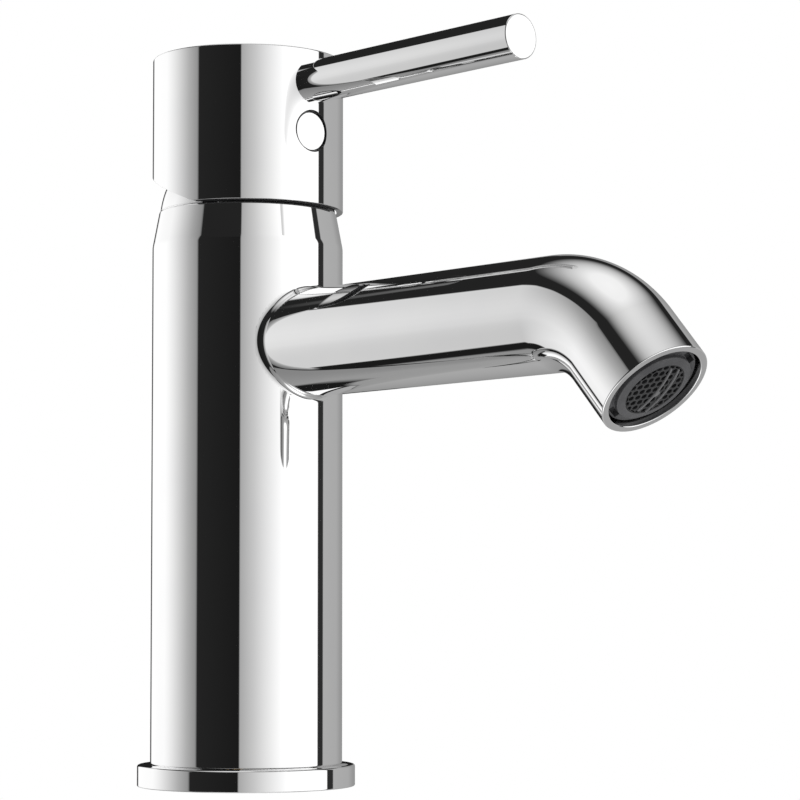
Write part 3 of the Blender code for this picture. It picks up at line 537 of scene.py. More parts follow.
def make_body():
    """The flange with its gasket, and the body's tube."""
    corners = [
        (FLANGE_BORE_R, flange_high.z, 0.2 * MM),
        (SPIGOT_R, flange_high.z, 0.2 * MM),
        (SPIGOT_R, FLANGE_H, 0),
        (FLANGE_R, FLANGE_H, 0.45 * MM),
        (FLANGE_R, 0, 0.25 * MM),
        (GROOVE_OUT_R, 0, 0.15 * MM),
        (GROOVE_OUT_R, GROOVE_TOP_Z, 0.1 * MM),
        (GROOVE_IN_R, GROOVE_TOP_Z, 0.1 * MM),
        (GROOVE_IN_R, 0, 0.15 * MM),
        (FLANGE_BORE_R, 0, 0.2 * MM),
    ]
    lathe("flange_ring", rounded(corners, True), CHROME, ["base_flange"], closed=True)
    seal = [
        (GROOVE_IN_R + GASKET_GAP, gasket_high.z, 0.1 * MM),
        (GROOVE_OUT_R - GASKET_GAP, gasket_high.z, 0.1 * MM),
        (GROOVE_OUT_R - GASKET_GAP, 0, 0.3 * MM),
        (GROOVE_IN_R + GASKET_GAP, 0, 0.3 * MM),
    ]
    lathe("foot_seal", rounded(seal, True), RUBBER, ["base_gasket"], closed=True)

    corners = [
        (BODY_BORE_R, RIM_Z, 0.25 * MM),
        (RIM_R, RIM_Z, 0.4 * MM),
        (BODY_R, KINK_Z, 6 * MM),
        (BODY_R, BODY_BOTTOM_Z, 0.3 * MM),
        (BODY_BORE_R, BODY_BOTTOM_Z, 0.2 * MM),
    ]
    lathe("body_tube", rounded(corners, True), CHROME, ["main_body"], closed=True)


def ball_wall(radius, start_z, end_z):
    """(radius, height) points down or up a ball round the pivot."""
    start = math.asin((start_z - PIVOT_Z) / radius)
    end = math.asin((end_z - PIVOT_Z) / radius)
    angles = [start + (end - start) * i / DOME_ROWS for i in range(DOME_ROWS + 1)]
    return [Vector((radius * math.cos(angle), PIVOT_Z + radius * math.sin(angle))) for angle in angles]


def make_dome():
    """The ball that the cap tilts over. The rows in the gap under the cap's level edge get painted shade."""
    outer = ball_wall(DOME_R, dome_high.z, dome_high.z - DOME_FALL)
    inner = ball_wall(DOME_R - DOME_WALL, dome_high.z - DOME_INNER_FALL, dome_high.z)
    skirt = [
        Vector((SPIGOT_R, outer[-1].y - SUPPORT)),
        Vector((SPIGOT_R, dome_low.z)),
        Vector((DOME_SKIRT_R, dome_low.z)),
        Vector((DOME_SKIRT_R, inner[0].y)),
    ]
    outer.insert(DOME_ROWS, outer[-1].lerp(outer[-2], 0.25))  # keeps the lower edge's shading to itself
    dome = lathe("ball_dome", outer + skirt + inner, CHROME, ["dome_cover"], closed=True)
    # near-black painted shade on the front rows in the gap under the cap
    dome.data.materials.append(SEAM_SHADE)
    for polygon in dome.data.polygons:
        row = polygon.index // SEGMENTS
        if abs(row - DOME_ROWS) <= 1 and polygon.center.y < CAP_SLANT_Y - SEAM_DOME_BACK:
            polygon.material_index = 1


# ---- Spout and aerator --------------------


def spout_line():
    """The way forward at the root, and (point, way) stations down the spout's middle to the bend's end."""
    forward = Vector((0, -math.cos(SPOUT_RISE), math.sin(SPOUT_RISE)))
    start = Vector((0, 0, SPOUT_AXIS_Z))
    bend_start = start + SPOUT_STRAIGHT * forward
    centre = bend_start - SPOUT_BEND_R * Vector((0, math.sin(SPOUT_RISE), math.cos(SPOUT_RISE)))
    stations = [(start + distance * MM * forward, forward) for distance in STRAIGHT_STATIONS]
    for i in range(BEND_STEPS + 1):
        angle = SPOUT_RISE - (SPOUT_RISE + SPOUT_DROP) * i / BEND_STEPS
        spot = centre + SPOUT_BEND_R * Vector((0, math.sin(angle), math.cos(angle)))
        stations.append((spot, Vector((0, -math.cos(angle), math.sin(angle)))))
    return forward, stations


def spout_rim():
    """Centre of the rim and the way that it faces."""
    _, stations = spout_line()
    spot, way = stations[-1]
    return spot + SPOUT_NOSE * way, way


def tube_ring(spot, way, radius, columns):
    """A ring of points square to way."""
    up = way.cross(Vector((1, 0, 0)))
    ring = []
    for k in range(columns):
        angle = 2 * math.pi * k / columns
        ring.append(spot + radius * (math.cos(angle) * Vector((1, 0, 0)) + math.sin(angle) * up))
    return ring


def make_spout():
    """The bent tube with its weld at the body and its bored nose; the bore's walls are duller."""
    columns = SEGMENTS
    forward, stations = spout_line()
    bend_end, way = stations[-1]
    origin = Vector((0, 0, SPOUT_AXIS_Z))
    up = forward.cross(Vector((1, 0, 0)))
    weld_r = SPOUT_R + SPOUT_WELD + 0.3 * MM
    # radius and distance out from the body's wall; the first two are inside it
    weld = [(weld_r, -1 * MM), (weld_r, -0.008 * MM)]
    for step in range(WELD_STEPS + 1):
        turn = math.radians(90) * (1 - step / WELD_STEPS)
        weld.append((SPOUT_R + SPOUT_WELD * (1 - math.cos(turn)), SPOUT_WELD * (1 - math.sin(turn))))
    weld.append((SPOUT_R, SPOUT_WELD + SUPPORT))

    def body_ring(radius, over):
        """A ring round the spout's middle that follows the body's wall."""
        ring = []
        for k in range(columns):
            angle = 2 * math.pi * k / columns
            x, lift = radius * math.cos(angle), radius * math.sin(angle)
            wall = math.sqrt(BODY_R**2 - x**2)
            distance = (wall + lift * math.sin(SPOUT_RISE)) / math.cos(SPOUT_RISE) + over
            ring.append(origin + distance * forward + x * Vector((1, 0, 0)) + lift * up)
        return ring

    rows = [body_ring(radius, over) for radius, over in weld]
    for spot, direction in stations:
        rows.append(tube_ring(spot, direction, SPOUT_R, columns))
    corners = [
        (SPOUT_R, -2 * MM, 0),
        (SPOUT_R, 0, 0.28 * MM),
        (NOSE_BORE_R, 0, 0.22 * MM),
        (NOSE_BORE_R, -2 * MM, 0),
    ]
    lip = rounded(corners)[1:-1]
    bore = [(NOSE_BORE_R, -3 * MM), (NOSE_BORE_R, -NOSE_BORE_DEPTH), (SPOUT_BORE_R, -NOSE_BORE_DEPTH)]
    for radius, height in [(SPOUT_R, -1 * MM), *lip, *bore]:
        rows.append(tube_ring(bend_end + (SPOUT_NOSE + height) * way, way, radius, columns))
    first_inside = len(rows) - len(bore) - 1
    for spot, direction in reversed(stations[1:-2]):
        rows.append(tube_ring(spot, direction, SPOUT_BORE_R, columns))
    rows.append(body_ring(SPOUT_BORE_R, -1 * MM))
    points = [point for ring in rows for point in ring]
    obj = piece("spout", points, grid_faces(len(rows), columns, True), CHROME, ["spout_tube"])
    obj.data.materials.append(BORE_CHROME)
    for polygon in obj.data.polygons:
        if first_inside <= polygon.index // columns:
            polygon.material_index = 1


def screen_height(u, w):
    """Height of the slightly crowned screen over the rim's plane."""
    return SCREEN_CROWN * max(0.0, 1 - (u * u + w * w) / EYE_R**2) - SCREEN_SET


def make_aerator():
    """The moulded nozzle with two key slots in its face, and the screen in it."""
    rim, way = spout_rim()
    across = Vector((1, 0, 0))
    place = Matrix.Translation(rim) @ Matrix((across, way.cross(across), way)).transposed().to_4x4()
    corners = [
        (EYE_R, -0.03 * MM, 0.1 * MM),
        (NOZZLE_R, -0.42 * MM, 0.25 * MM),
        (NOZZLE_R, -AERATOR_FACE, 0.15 * MM),
        (AERATOR_R, -AERATOR_FACE, 0.2 * MM),
        (AERATOR_R, -AERATOR_END, 0.2 * MM),
        (SLEEVE_R, -AERATOR_END, 0.1 * MM),
        (SLEEVE_R, -AERATOR_LIP, 0.1 * MM),
        (EYE_R, -AERATOR_LIP, 0.1 * MM),
    ]
    profile = rounded(corners, True)
    housing = lathe("aerator_shell", profile, GREY_PLASTIC, ["aerator_housing"], place=place, closed=True)
    # the box that cuts a key slot
    xs = NOZZLE_R + 0.05 * MM, 9.95 * MM
    ys = -2.1 * MM, 2.1 * MM
    zs = -AERATOR_FACE - 1.4 * MM, -AERATOR_FACE + 0.5 * MM
    box_points = [(x, y, z) for x in xs for y in ys for z in zs]
    box_faces = [(0, 1, 3, 2), (4, 6, 7, 5), (0, 4, 5, 1), (2, 3, 7, 6), (0, 2, 6, 4), (1, 5, 7, 3)]
    for turn in (KEY_TURN, KEY_TURN + math.pi):
        cut(housing, box_points, box_faces, place @ Matrix.Rotation(turn, 4, "Z"))
    housing.data.set_sharp_from_angle(angle=math.radians(40))
    make_screen(place)


def make_screen(place):
    """A plate of deep round holes in a honeycomb pattern, with a rim and two moulded ribs across it."""
    points, faces = [], []
    first = Vector(CELL_FIRST) * MM
    second = Vector(CELL_SECOND) * MM
    reach = EYE_R - 0.12 * MM
    count = 6 * CELL_SIDE_STEPS
    # the six neighbours of a cell, in turn
    around = sorted(
        (first * a + second * b for a, b in ((1, 0), (0, 1), (-1, 0), (0, -1), (1, 1), (-1, -1))),
        key=lambda way: math.atan2(way.y, way.x),
    )
    corners = [(around[k] + around[(k + 1) % 6]) / 3 for k in range(6)]
    border = [
        corners[k].lerp(corners[(k + 1) % 6], step / CELL_SIDE_STEPS)
        for k in range(6)
        for step in range(CELL_SIDE_STEPS)
    ]
    for a in range(-6, 7):
        for b in range(-6, 7):
            centre = first * a + second * b
            if centre.length > reach + 0.3 * MM:
                continue
            outer = [centre + spot for spot in border]
            ways = [(spot - centre).normalized() for spot in outer]
            mouth = [centre + way * (SCREEN_HOLE_R + MOUTH_WIDTH) for way in ways]
            inner = [centre + way * SCREEN_HOLE_R for way in ways]
            base = len(points)
            for ring, limit, fall in (
                (outer, reach, 0.0),
                (mouth, reach - 0.02 * MM, 0.0),
                (inner, reach - 0.05 * MM, 0.07 * MM),
                (inner, reach - 0.05 * MM, SCREEN_DEPTH),
            ):
                for free in ring:
                    spot = free * min(1.0, limit / free.length)
                    points.append((spot.x, spot.y, screen_height(spot.x, spot.y) - fall))
            for level in range(3):
                for k in range(count):
                    nxt = (k + 1) % count
                    start = base + count * level
                    faces.append((start + k, start + nxt, start + count + nxt, start + count + k))
    obj = piece("aerator_mesh", points, faces, SCREEN_PLASTIC, ["aerator_screen"], place)
    obj.data.materials.append(RIB_LIT_PLASTIC)
    join_parts(obj, [screen_plate(place)])
    plain = len(obj.data.polygons)
    join_parts(obj, screen_ribs(place))
    # the ribs and the gate pad take the lighter copy, painted light
    for polygon in obj.data.polygons:
        if polygon.index >= plain:
            polygon.material_index = 1


def screen_plate(place):
    """The floor behind the holes, and the screen's rim in its seat."""
    low, high = -SCREEN_SET - SCREEN_DEPTH, -SCREEN_SET - 0.02 * MM
    inside, outside = EYE_R - 0.2 * MM, EYE_R - 0.06 * MM
    corners = [
        (0, low, 0),
        (inside, low, 0.04 * MM),
        (inside, high, 0.03 * MM),
        (outside, high, 0.03 * MM),
        (outside, SCREEN_SEAT_HIGH, 0.05 * MM),
        (SCREEN_SEAT_R, SCREEN_SEAT_HIGH, 0.1 * MM),
        (SCREEN_SEAT_R, SCREEN_SEAT_LOW, 0.1 * MM),
        (0, SCREEN_SEAT_LOW, 0),
    ]
    points = []
    profile = rounded(corners)
    rings = profile[1:-1]
    for r, z in rings:
        points += [(x, y, z) for x, y in circle(0, 0, r)]
    faces = grid_faces(len(rings), SMALL_SEGMENTS)
    faces += cap_fans(points, len(rings), SMALL_SEGMENTS, profile[0][1], profile[-1][1])
    return [place @ Vector(point) for point in points], faces


def screen_ribs(place):
    """Two bowed ribs across the screen, and the small gate pad beside the first."""
    parts = []
    for start, slant in RIBS:
        points = []
        for i in range(RIB_ROWS + 1):
            w = RIB_REACH * (2 * i / RIB_ROWS - 1)
            u = start - slant * w + RIB_BOW * (1 - (w / RIB_REACH) ** 2)
            height = screen_height(u, w)
            for k in range(RIB_SIDES):
                angle = 2 * math.pi * k / RIB_SIDES
                points.append((u + RIB_HALF * math.cos(angle), w, height + RIB_RISE * math.sin(angle)))
        parts.append((points, closed_faces(RIB_ROWS + 1, RIB_SIDES)))
    points = []
    for radius, height in PAD_RINGS:
        z = screen_height(0, 0) + height * MM
        points += [(x, y, z) for x, y in circle(*PAD_SPOT, radius * MM, PAD_STEPS)]
    parts.append((points, closed_faces(len(PAD_RINGS), PAD_STEPS)))
    return [([place @ Vector(point) for point in points], faces) for points, faces in parts]


def join_parts(obj, parts):
    """Adds (points, faces) parts to a piece's mesh."""
    shape = bmesh.new()
    shape.from_mesh(obj.data)
    for points, faces in parts:
        made = [shape.verts.new(point) for point in points]
        new_faces = [shape.faces.new([made[i] for i in face]) for face in faces]
        bmesh.ops.recalc_face_normals(shape, faces=new_faces)
        for face in new_faces:
            face.smooth = True
    shape.to_mesh(obj.data)
    shape.free()
    obj.data.set_sharp_from_angle(angle=math.radians(35))


# ---- Handle --------------------


def slant_floor(y):
    """Height of the cap's lower edge: level at the front and rising to the rear."""
    over = (y - CAP_SLANT_Y) / MM
    soft = 0.25  # millimetres over which the slant starts
    return CAP_LOW_Z + CAP_SLANT * MM * (over + math.sqrt(over * over + soft * soft)) / 2


def cap_inside(share):
    """(radius, height) on the cap's inner wall: share 0 to 1 is the ball-shaped recess, 1 to 2 the cavity."""
    recess_high = math.asin(math.sqrt(CAP_RECESS_R**2 - CAP_CAVITY_R**2) / CAP_RECESS_R)
    recess_low = math.asin((CAP_LOW_Z - PIVOT_Z) / CAP_RECESS_R)
    if share <= 1:
        angle = recess_low + (recess_high - recess_low) * share
        return CAP_RECESS_R * math.cos(angle), PIVOT_Z + CAP_RECESS_R * math.sin(angle)
    start = PIVOT_Z + CAP_RECESS_R * math.sin(recess_high)
    return CAP_CAVITY_R, start + (CAP_ROOF_Z - start) * (share - 1)


def inner_start(y):
    """Share of cap_inside at which the inner wall leaves the lower edge; y is on the unit circle."""
    low, high = 0.0, 2.0
    for _ in range(40):
        middle = (low + high) / 2
        r, z = cap_inside(middle)
        if z < slant_floor(r * y):
            low = middle
        else:
            high = middle
    return high


def make_cap():
    """The cap from its top, down the wall, under the slanted edge and up the inside to the boss."""
    columns = SEGMENTS
    top = rounded([(0, CAP_TOP_Z, 0), (CAP_R, CAP_TOP_Z, CAP_TOP_EDGE), (CAP_R, CAP_LOW_Z + 1 * MM, 0)])[1:-1]
    rings = [[(r, z)] * columns for r, z in top]
    ways = [2 * math.pi * k / columns for k in range(columns)]
    front = [-math.cos(way) for way in ways]  # y of the unit circle, from the front round
    high = top[-1][1]
    for i in range(1, CAP_WALL_ROWS + 1):
        ring = []
        for y in front:
            foot = slant_floor(CAP_R * y) + CAP_LOW_EDGE + SUPPORT
            ring.append((CAP_R, high + (foot - high) * i / CAP_WALL_ROWS))
        rings.append(ring)
    for i in range(ARC_STEPS + 1):
        turn = math.radians(90) * i / ARC_STEPS
        r = CAP_R - CAP_LOW_EDGE * (1 - math.cos(turn))
        rings.append([(r, slant_floor(r * y) + CAP_LOW_EDGE * (1 - math.sin(turn))) for y in front])
    r = CAP_R - CAP_LOW_EDGE - SUPPORT
    rings.append([(r, slant_floor(r * y)) for y in front])
    starts = [inner_start(y) for y in front]
    edges = [cap_inside(start) for start in starts]
    rings.append([(r + SUPPORT, slant_floor((r + SUPPORT) * y)) for (r, z), y in zip(edges, front)])
    for i in range(CAP_INSIDE_ROWS + 1):
        rings.append([cap_inside(start + (2 - start) * i / CAP_INSIDE_ROWS) for start in starts])
    corners = [
        (CAP_CAVITY_R, CAP_ROOF_Z, 0),
        (CAP_BOSS_R, CAP_ROOF_Z, 0.3 * MM),
        (CAP_BOSS_R, CAP_BOSS_LOW_Z, 0.3 * MM),
        (0, CAP_BOSS_LOW_Z, 0),
    ]
    roof = rounded(corners)[1:-1]
    rings += [[(r, z)] * columns for r, z in roof]
    points = []
    for ring in rings:
        for way, (r, z) in zip(ways, ring):
            points.append((r * math.sin(way), -r * math.cos(way), z))
    faces = grid_faces(len(rings), columns)
    faces += cap_fans(points, len(rings), columns, CAP_TOP_Z, CAP_BOSS_LOW_Z)
    cap = piece("handle_cap_shell", points, faces, CHROME, ["handle_cap"])
    facing = along((0, 0, PLUG_Z), (0, -1, 0))
    cut(cap, *drum(RECESS_R, PLUG_FACE - RECESS_DEPTH, PLUG_FACE + 2 * MM), facing)
    polish_wall(cap)
    paint_seam_shade(cap)


def paint_seam_shade(cap):
    """Painted shade: near-black material in the gap under the cap's level edge, and on the wall of the plug's
    recess.
    """
    shade_slot = len(cap.data.materials)
    cap.data.materials.append(SEAM_SHADE)
    near = 0.01 * MM
    for polygon in cap.data.polygons:
        middle, normal = polygon.center, polygon.normal
        under = normal.z < -0.99 and middle.z < CAP_LOW_Z + near and middle.x < SEAM_EDGE_END
        inward = middle.x * normal.x + middle.y * normal.y < 0
        recess = inward and middle.z < CAP_LOW_Z + SEAM_RECESS_RISE and middle.x < SEAM_RECESS_END
        from_plug = Vector((middle.x, middle.z - PLUG_Z)).length
        in_hole = from_plug < RECESS_R + near and CAP_CAVITY_R < -middle.y and abs(normal.y) < 0.5
        # faces under the edge, low on the recess's wall and on the hole's wall take the painted shade
        if (under or recess) and middle.y < CAP_SLANT_Y or in_hole:
            polygon.material_index = shade_slot


def polish_wall(cap):
    """Exact shading on the cap's outer wall, where the plug's recess has cut across the grid."""
    mesh = cap.data
    for edge in mesh.edges:
        edge.use_edge_sharp = False
    mesh.shade_smooth()
    mesh.set_sharp_from_angle(angle=math.radians(40))
    normals = [Vector((0, 0, 0))] * len(mesh.loops)
    for polygon in mesh.polygons:
        middle = polygon.center
        away = Vector((middle.x, middle.y, 0))
        on_wall = abs(away.length - CAP_R) < 0.02 * MM and abs(polygon.normal.z) < 0.001
        if on_wall and polygon.normal.dot(away) > 0:
            for loop in polygon.loop_indices:
                spot = mesh.vertices[mesh.loops[loop].vertex_index].co
                normals[loop] = Vector((spot.x, spot.y, 0)).normalized()
    mesh.normals_split_custom_set(normals)


def make_lever():
    """The lever's rod with its thread, and the plug below it."""
    forward = Vector((0, -math.cos(LEVER_RISE), math.sin(LEVER_RISE)))
    place = along((0, 0, LEVER_AXIS_Z), forward)
    corners = [
        (0, LEVER_TIP, 0),
        (LEVER_R, LEVER_TIP, 0.3 * MM),
        (LEVER_R, LEVER_ROOT, 0.3 * MM),
        (LEVER_THREAD_R, LEVER_ROOT, 0.1 * MM),
        (LEVER_THREAD_R, LEVER_THREAD_END, 0.4 * MM),
        (0, LEVER_THREAD_END, 0),
    ]
    lathe("lever_rod", rounded(corners), CHROME, ["handle_lever"], place=place)

    facing = along((0, 0, PLUG_Z), (0, -1, 0))
    corners = [
        (0, PLUG_FACE, 0),
        (PLUG_R, PLUG_FACE, 0.2 * MM),
        (PLUG_R, PLUG_BACK, 0.2 * MM),
        (PLUG_STEM_R, PLUG_BACK, 0.1 * MM),
        (PLUG_STEM_R, PLUG_STEM_END, 0.3 * MM),
        (0, PLUG_STEM_END, 0),
    ]
    lathe("plug_button", rounded(corners), CHROME, ["indicator_plug"], SMALL_SEGMENTS, facing)


# ---- Clamp kit under the deck --------------------


def make_stud():
    """The threaded stud, chamfered at both ends."""
    length = stud_high.z - stud_low.z
    rows = int(length / STUD_PITCH * STUD_ROWS_PER_TURN)
    points = []
    for i in range(rows + 1):
        z = stud_low.z + length * i / rows
        end = min(z - stud_low.z, stud_high.z - z)
        limit = STUD_R - max(0.0, STUD_CHAMFER - end)
        for k in range(STUD_COLUMNS):
            angle = 2 * math.pi * k / STUD_COLUMNS
            phase = ((z / STUD_PITCH) - k / STUD_COLUMNS) % 1.0
            flank = min(1.0, max(0.0, abs(2 * phase - 1) * 1.35 - 0.1))  # flat at the crest and the root
            r = min(limit, STUD_R - 0.01 * MM - THREAD_DEPTH * flank)
            points.append((r * math.cos(angle), STUD_Y + r * math.sin(angle), z))
    faces = closed_faces(rows + 1, STUD_COLUMNS)
    stud = piece("threaded_stud", points, faces, STEEL, ["fixing_stud"])
    stud.data.set_sharp_from_angle(angle=math.radians(50))


def make_nut():
    """The hexagonal nut with a chamfer at its corners and at its hole."""
    flat = (nut_high.x - nut_low.x) / 2
    rings = []
    for level, height, shares in ((1, nut_high.z, NUT_SHARES), (-1, nut_low.z, NUT_SHARES[::-1])):
        for share in shares:
            ring = []
            for k in range(SMALL_SEGMENTS):
                angle = 2 * math.pi * k / SMALL_SEGMENTS
                local = (angle + math.radians(30)) % math.radians(60) - math.radians(30)
                edge = flat / math.cos(local)
                r = NUT_HOLE_R + (edge - NUT_HOLE_R) * share
                drop = max(0.0, r - flat * NUT_CHAMFER_START) * NUT_CHAMFER if share > 0 else 0.5 * MM
                ring.append((r * math.cos(angle), STUD_Y + r * math.sin(angle), height - level * drop))
            rings.append(ring)
    points = [point for ring in rings for point in ring]
    nut = piece("hex_nut", points, grid_faces(len(rings), SMALL_SEGMENTS, True), BRASS, ["clamp_nut"])
    nut.data.set_sharp_from_angle(angle=math.radians(25))


def make_plates():
    """The two horseshoe washers, and the brass block in the body's foot."""
    stud_hole = circle(0, STUD_Y, STUD_HOLE_R)
    for name, node, material, edge in (
        ("rubber_horseshoe", "rubber_washer", RUBBER, 0.4 * MM),
        ("steel_horseshoe", "clamp_washer", STEEL, 0.25 * MM),
    ):
        low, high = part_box(node)
        radius = high.x
        corner = math.asin(WASHER_SLOT_HALF / radius)
        outline = circle(0, 0, radius, 140, math.radians(90) + corner, 2 * math.pi - 2 * corner)
        outline += [(WASHER_SLOT_HALF, WASHER_SLOT_Y), (-WASHER_SLOT_HALF, WASHER_SLOT_Y)]
        plate(name, outline, [stud_hole], low.z, high.z, edge, material, [node])

    outline = circle(0, 0, BLOCK_R, SEGMENTS)
    holes = [circle(x, HOSE_WAY_Y, HOSE_WAY_R) for x in (-HOSE_WAY_X, HOSE_WAY_X)] + [stud_hole]
    plate("foot_block", outline, holes, block_low.z, block_high.z, 0.3 * MM, BRASS, ["base_block"])


# ---- Studio --------------------

FLOOR_Z = -0.2 * MM
CAMERA_PLACE = -0.41245, -0.46424, 0.04353
CAMERA_YAW = math.radians(-44.953)
CAMERA_PITCH = math.radians(2.954)
CAMERA_LENS = 118.2375
CAMERA_SHIFT = 0.08


def make_floor():
    """A white floor that glossy reflections don't see."""
    size = 4.0
    corners = [(x * size, y * size, FLOOR_Z) for x, y in ((-1, -1), (1, -1), (1, 1), (-1, 1))]
    mesh = bpy.data.meshes.new("floor")
    mesh.from_pydata(corners, [], [(0, 1, 2, 3)])
    floor = bpy.data.objects.new("floor", mesh)
    bpy.context.scene.collection.objects.link(floor)
    pale = bpy.data.materials.new("pale_floor")
    pale.use_nodes = True
    tree = pale.node_tree
    tree.nodes.clear()
    glow = tree.nodes.new("ShaderNodeEmission")
    glow.inputs["Color"].default_value = (1, 1, 1, 1)
    glow.inputs["Strength"].default_value = 1.0
    tree.links.new(glow.outputs[0], tree.nodes.new("ShaderNodeOutputMaterial").inputs["Surface"])
    mesh.materials.append(pale)
    floor.visible_glossy = False


def make_camera():
    """The camera of the photo, from a fit to the faucet's outline, and display without a film look."""
    scene = bpy.context.scene
    scene.view_settings.view_transform = "Standard"
    data = bpy.data.cameras.new("camera")
    data.sensor_width = 36.0
    data.lens = CAMERA_LENS
    data.shift_y = CAMERA_SHIFT
    data.clip_start = 0.01
    camera = bpy.data.objects.new("camera", data)
    scene.collection.objects.link(camera)
    camera.matrix_world = (
        Matrix.Translation(CAMERA_PLACE)
        @ Matrix.Rotation(CAMERA_YAW, 4, "Z")
        @ Matrix.Rotation(math.radians(90) + CAMERA_PITCH, 4, "X")
    )
    scene.camera = camera


def grey(value):
    """Light for a display value out of 255; above 255 the light goes on past white."""
    if value > 255:
        return value / 255
    share = value / 255
    return share / 12.92 if share <= 0.04045 else ((share + 0.055) / 1.055) ** 2.4


# The studio round the object, as the polished metal sees it. Turns are in degrees about Z from the side that
# the camera is on, positive to the right. Heights are in degrees above the horizon. Levels are display values
# out of 255, and a level above 255 is brighter than white.
STUDIO_FACING = math.radians(-45.11)
WALL_LEVELS = [
    (-180, 30), (-160, 32), (-153, 262), (-112, 258), (-104, 247), (-96, 234), (-84, 208), (-72, 176),
    (-60, 147), (-59.4, 146), (-58.4, 35), (-5.2, 26), (-4.2, 168), (12, 199), (24, 223), (36, 243),
    (46, 262), (50, 280), (97.4, 280), (98.2, 43), (107.4, 44), (108.2, 172), (140, 168), (156, 150),
    (180, 140),
]
WALL_TOPS = [
    (-180, 29), (-168, 28), (-150, 33), (-110, 38.5), (-96, 40), (-84, 38.5), (-72, 35.5), (-60, 32),
    (-30, 40), (60, 41), (100, 40), (132, 35), (144, 33.5), (156, 31.5), (180, 29),
]
WALL_FEET = [
    (-180, -8), (-160, -8), (-150, -22), (-132, -28), (-124, -32), (-116, -35.5), (-108, -39), (-96, -39),
    (-72, -40), (-60, -36), (-20, -33), (0, -32), (12, -32), (24, -36), (48, -34), (60, -32), (72, -30),
    (90, -32), (100, -35), (120, -34), (160, -22), (180, -8),
]
# Share of the walls' light by height, on the left of the dark flag
WALL_FADE = [
    (-90, 0.5), (-36, 0.64), (-28, 0.71), (-20, 0.78), (-12, 0.86), (-5, 0.96), (4, 1.0), (12, 0.98),
    (20, 0.91), (28, 0.81), (36, 0.7), (90, 0.5),
]
WALL_FADE_END = -59  # the turn where the fade ends, inside the flag
# Degrees below the horizon, by turn, where the floor starts beyond the dark gap at the foot of the walls
FLOOR_STARTS = [
    (-180, 8), (-160, 8), (-150, 30), (-132, 38), (-124, 42), (-116, 46), (-108, 46.5), (-96, 46.5),
    (-84, 46.3), (-72, 44.5), (-60, 40), (-48, 32), (-36, 29), (-24, 27), (-10, 30), (0, 35), (12, 38),
    (24, 41), (36, 42.5), (72, 42), (84, 38.5), (100, 35.5), (120, 34), (150, 26), (160, 8), (180, 8),
]
# Level of the floor, by degrees below the horizon, and the share of it by turn
FLOOR_LEVELS = [(0, 140), (20, 152), (45, 169), (57, 182), (64, 200), (71, 410), (90, 410)]
FLOOR_SHARES = [
    (-180, 1.0), (-160, 1.0), (-140, 0.8), (-124, 0.67), (-30, 0.67), (0, 0.74), (24, 0.82), (100, 0.86),
    (150, 0.92), (180, 1.0),
]
GAP_LEVEL = 26
CEILING_TURN = math.radians(-24)  # way of the ceiling light's long side
CEILING_STRETCH = 1.45
CEILING_LEVELS = [(0.0, 244), (0.2, 240), (0.31, 220), (0.46, 190), (0.6, 146), (0.7, 98), (0.79, 34)]
BLUR = 1.2  # degrees over which the walls' edges blur
STUDIO_STRENGTH = 1.07


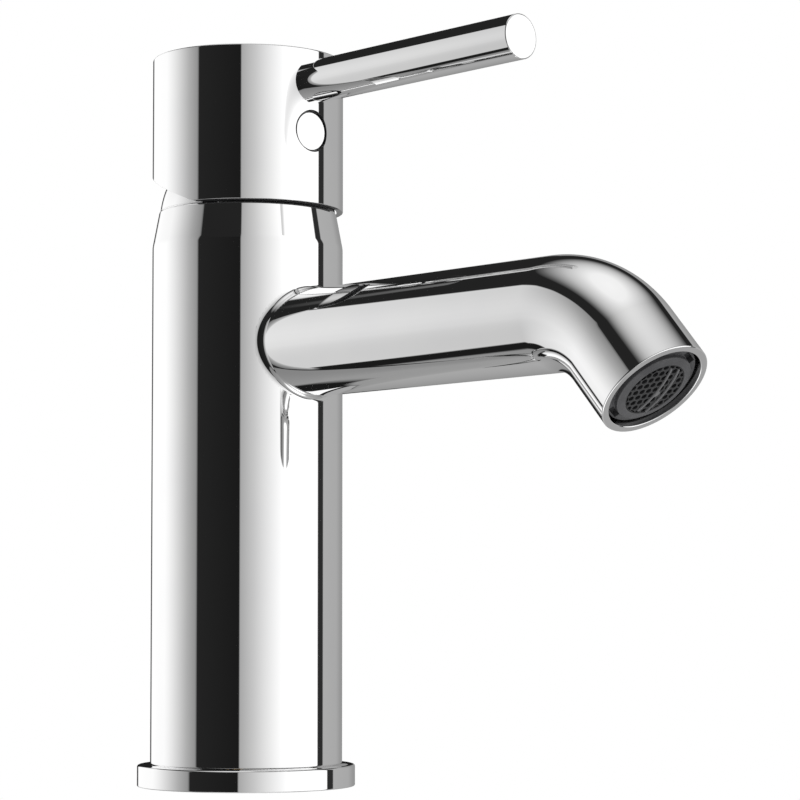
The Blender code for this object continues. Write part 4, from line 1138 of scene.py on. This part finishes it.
def make_world():
    """Walls, dark flags, a ceiling light and a grey floor to the metal; plain white to the camera."""
    world = bpy.data.worlds.new("studio")
    bpy.context.scene.world = world
    world.use_nodes = True
    world.cycles.sampling_method = "NONE"
    nodes, links = world.node_tree.nodes, world.node_tree.links
    nodes.clear()

    def calc(operation, *values, clamp=False):
        node = nodes.new("ShaderNodeMath")
        node.operation = operation
        node.use_clamp = clamp
        for socket, value in zip(node.inputs, values):
            if isinstance(value, (int, float)):
                socket.default_value = value
            else:
                links.new(value, socket)
        return node.outputs[0]

    def band(value, stops, light=True):
        """A ramp over a value from 0 to 1."""
        ramp = nodes.new("ShaderNodeValToRGB")
        elements = ramp.color_ramp.elements
        while len(elements) < len(stops):
            elements.new(0.5)
        for element, (position, level) in zip(elements, stops):
            element.position = position
            shade = grey(level) if light else level
            element.color = (shade, shade, shade, 1)
        links.new(value, ramp.inputs["Fac"])
        return ramp.outputs["Color"]

    def round_turn(stops, scale=1.0):
        return [((degrees + 180) / 360, value * scale) for degrees, value in stops]

    def toward(turn):
        """How far the ray's direction goes towards a turn."""
        facing = STUDIO_FACING + turn
        return calc("ADD", calc("MULTIPLY", x, math.sin(facing)), calc("MULTIPLY", y, -math.cos(facing)))

    coordinates = nodes.new("ShaderNodeTexCoord")
    split = nodes.new("ShaderNodeSeparateXYZ")
    links.new(coordinates.outputs["Generated"], split.inputs[0])
    x, y, z = split.outputs
    turn = calc("ARCTAN2", toward(math.radians(90)), toward(0))
    share = calc("MULTIPLY_ADD", turn, 1 / (2 * math.pi), 0.5)
    height = calc("MULTIPLY", calc("ARCSINE", z), 2 / math.pi)
    below = calc("MULTIPLY", height, -1)
    soft = 90 / BLUR

    wall = band(share, round_turn(WALL_LEVELS))
    wall_top = band(share, round_turn(WALL_TOPS, 1 / 90), False)
    wall_foot = band(share, round_turn(WALL_FEET, -1 / 90), False)
    under_top = calc("MULTIPLY_ADD", calc("SUBTRACT", wall_top, height), soft, 0.5, clamp=True)
    over_foot = calc("MULTIPLY_ADD", calc("SUBTRACT", wall_foot, below), soft, 0.5, clamp=True)
    rising = calc("MULTIPLY_ADD", height, 0.5, 0.5)
    fade = band(rising, [((degrees + 90) / 180, left_share) for degrees, left_share in WALL_FADE], False)
    fade = calc("MAXIMUM", fade, calc("GREATER_THAN", share, (180 + WALL_FADE_END) / 360))
    walls = calc("MULTIPLY", calc("MULTIPLY", wall, fade), calc("MULTIPLY", under_top, over_foot))

    # the ceiling light is an oval on a level plane overhead
    rise = calc("MAXIMUM", z, 0.02)
    long_way = calc("DIVIDE", toward(CEILING_TURN), calc("MULTIPLY", rise, CEILING_STRETCH))
    short_way = calc("DIVIDE", toward(CEILING_TURN + math.radians(90)), rise)
    reach = calc("SQRT", calc("ADD", calc("POWER", long_way, 2), calc("POWER", short_way, 2)), clamp=True)
    ceiling = calc("MULTIPLY", band(reach, CEILING_LEVELS), calc("GREATER_THAN", z, 0.3))

    floor_start = band(share, round_turn(FLOOR_STARTS, 1 / 90), False)
    under_foot = calc("SUBTRACT", below, floor_start)
    floor_seen = calc("MULTIPLY_ADD", under_foot, soft / 2, 0.5, clamp=True)
    floor_light = band(calc("MAXIMUM", below, 0), [(degrees / 90, level) for degrees, level in FLOOR_LEVELS])
    floor_share = band(share, round_turn(FLOOR_SHARES), False)
    ground = calc("MULTIPLY", calc("MULTIPLY", floor_light, floor_share), floor_seen)

    seen = calc("MAXIMUM", calc("MAXIMUM", walls, ceiling), calc("MAXIMUM", ground, grey(GAP_LEVEL)))

    light_path = nodes.new("ShaderNodeLightPath")
    studio = nodes.new("ShaderNodeBackground")
    links.new(seen, studio.inputs["Color"])
    studio.inputs["Strength"].default_value = STUDIO_STRENGTH
    plain = nodes.new("ShaderNodeBackground")
    plain.inputs["Color"].default_value = (1, 1, 1, 1)
    choose = nodes.new("ShaderNodeMixShader")
    links.new(light_path.outputs["Is Camera Ray"], choose.inputs["Fac"])
    links.new(studio.outputs[0], choose.inputs[1])
    links.new(plain.outputs[0], choose.inputs[2])
    output = nodes.new("ShaderNodeOutputWorld")
    links.new(choose.outputs[0], output.inputs["Surface"])


make_body()
make_dome()
make_spout()
make_aerator()
make_cap()
make_lever()
make_stud()
make_nut()
make_plates()
make_floor()
make_camera()
make_world()
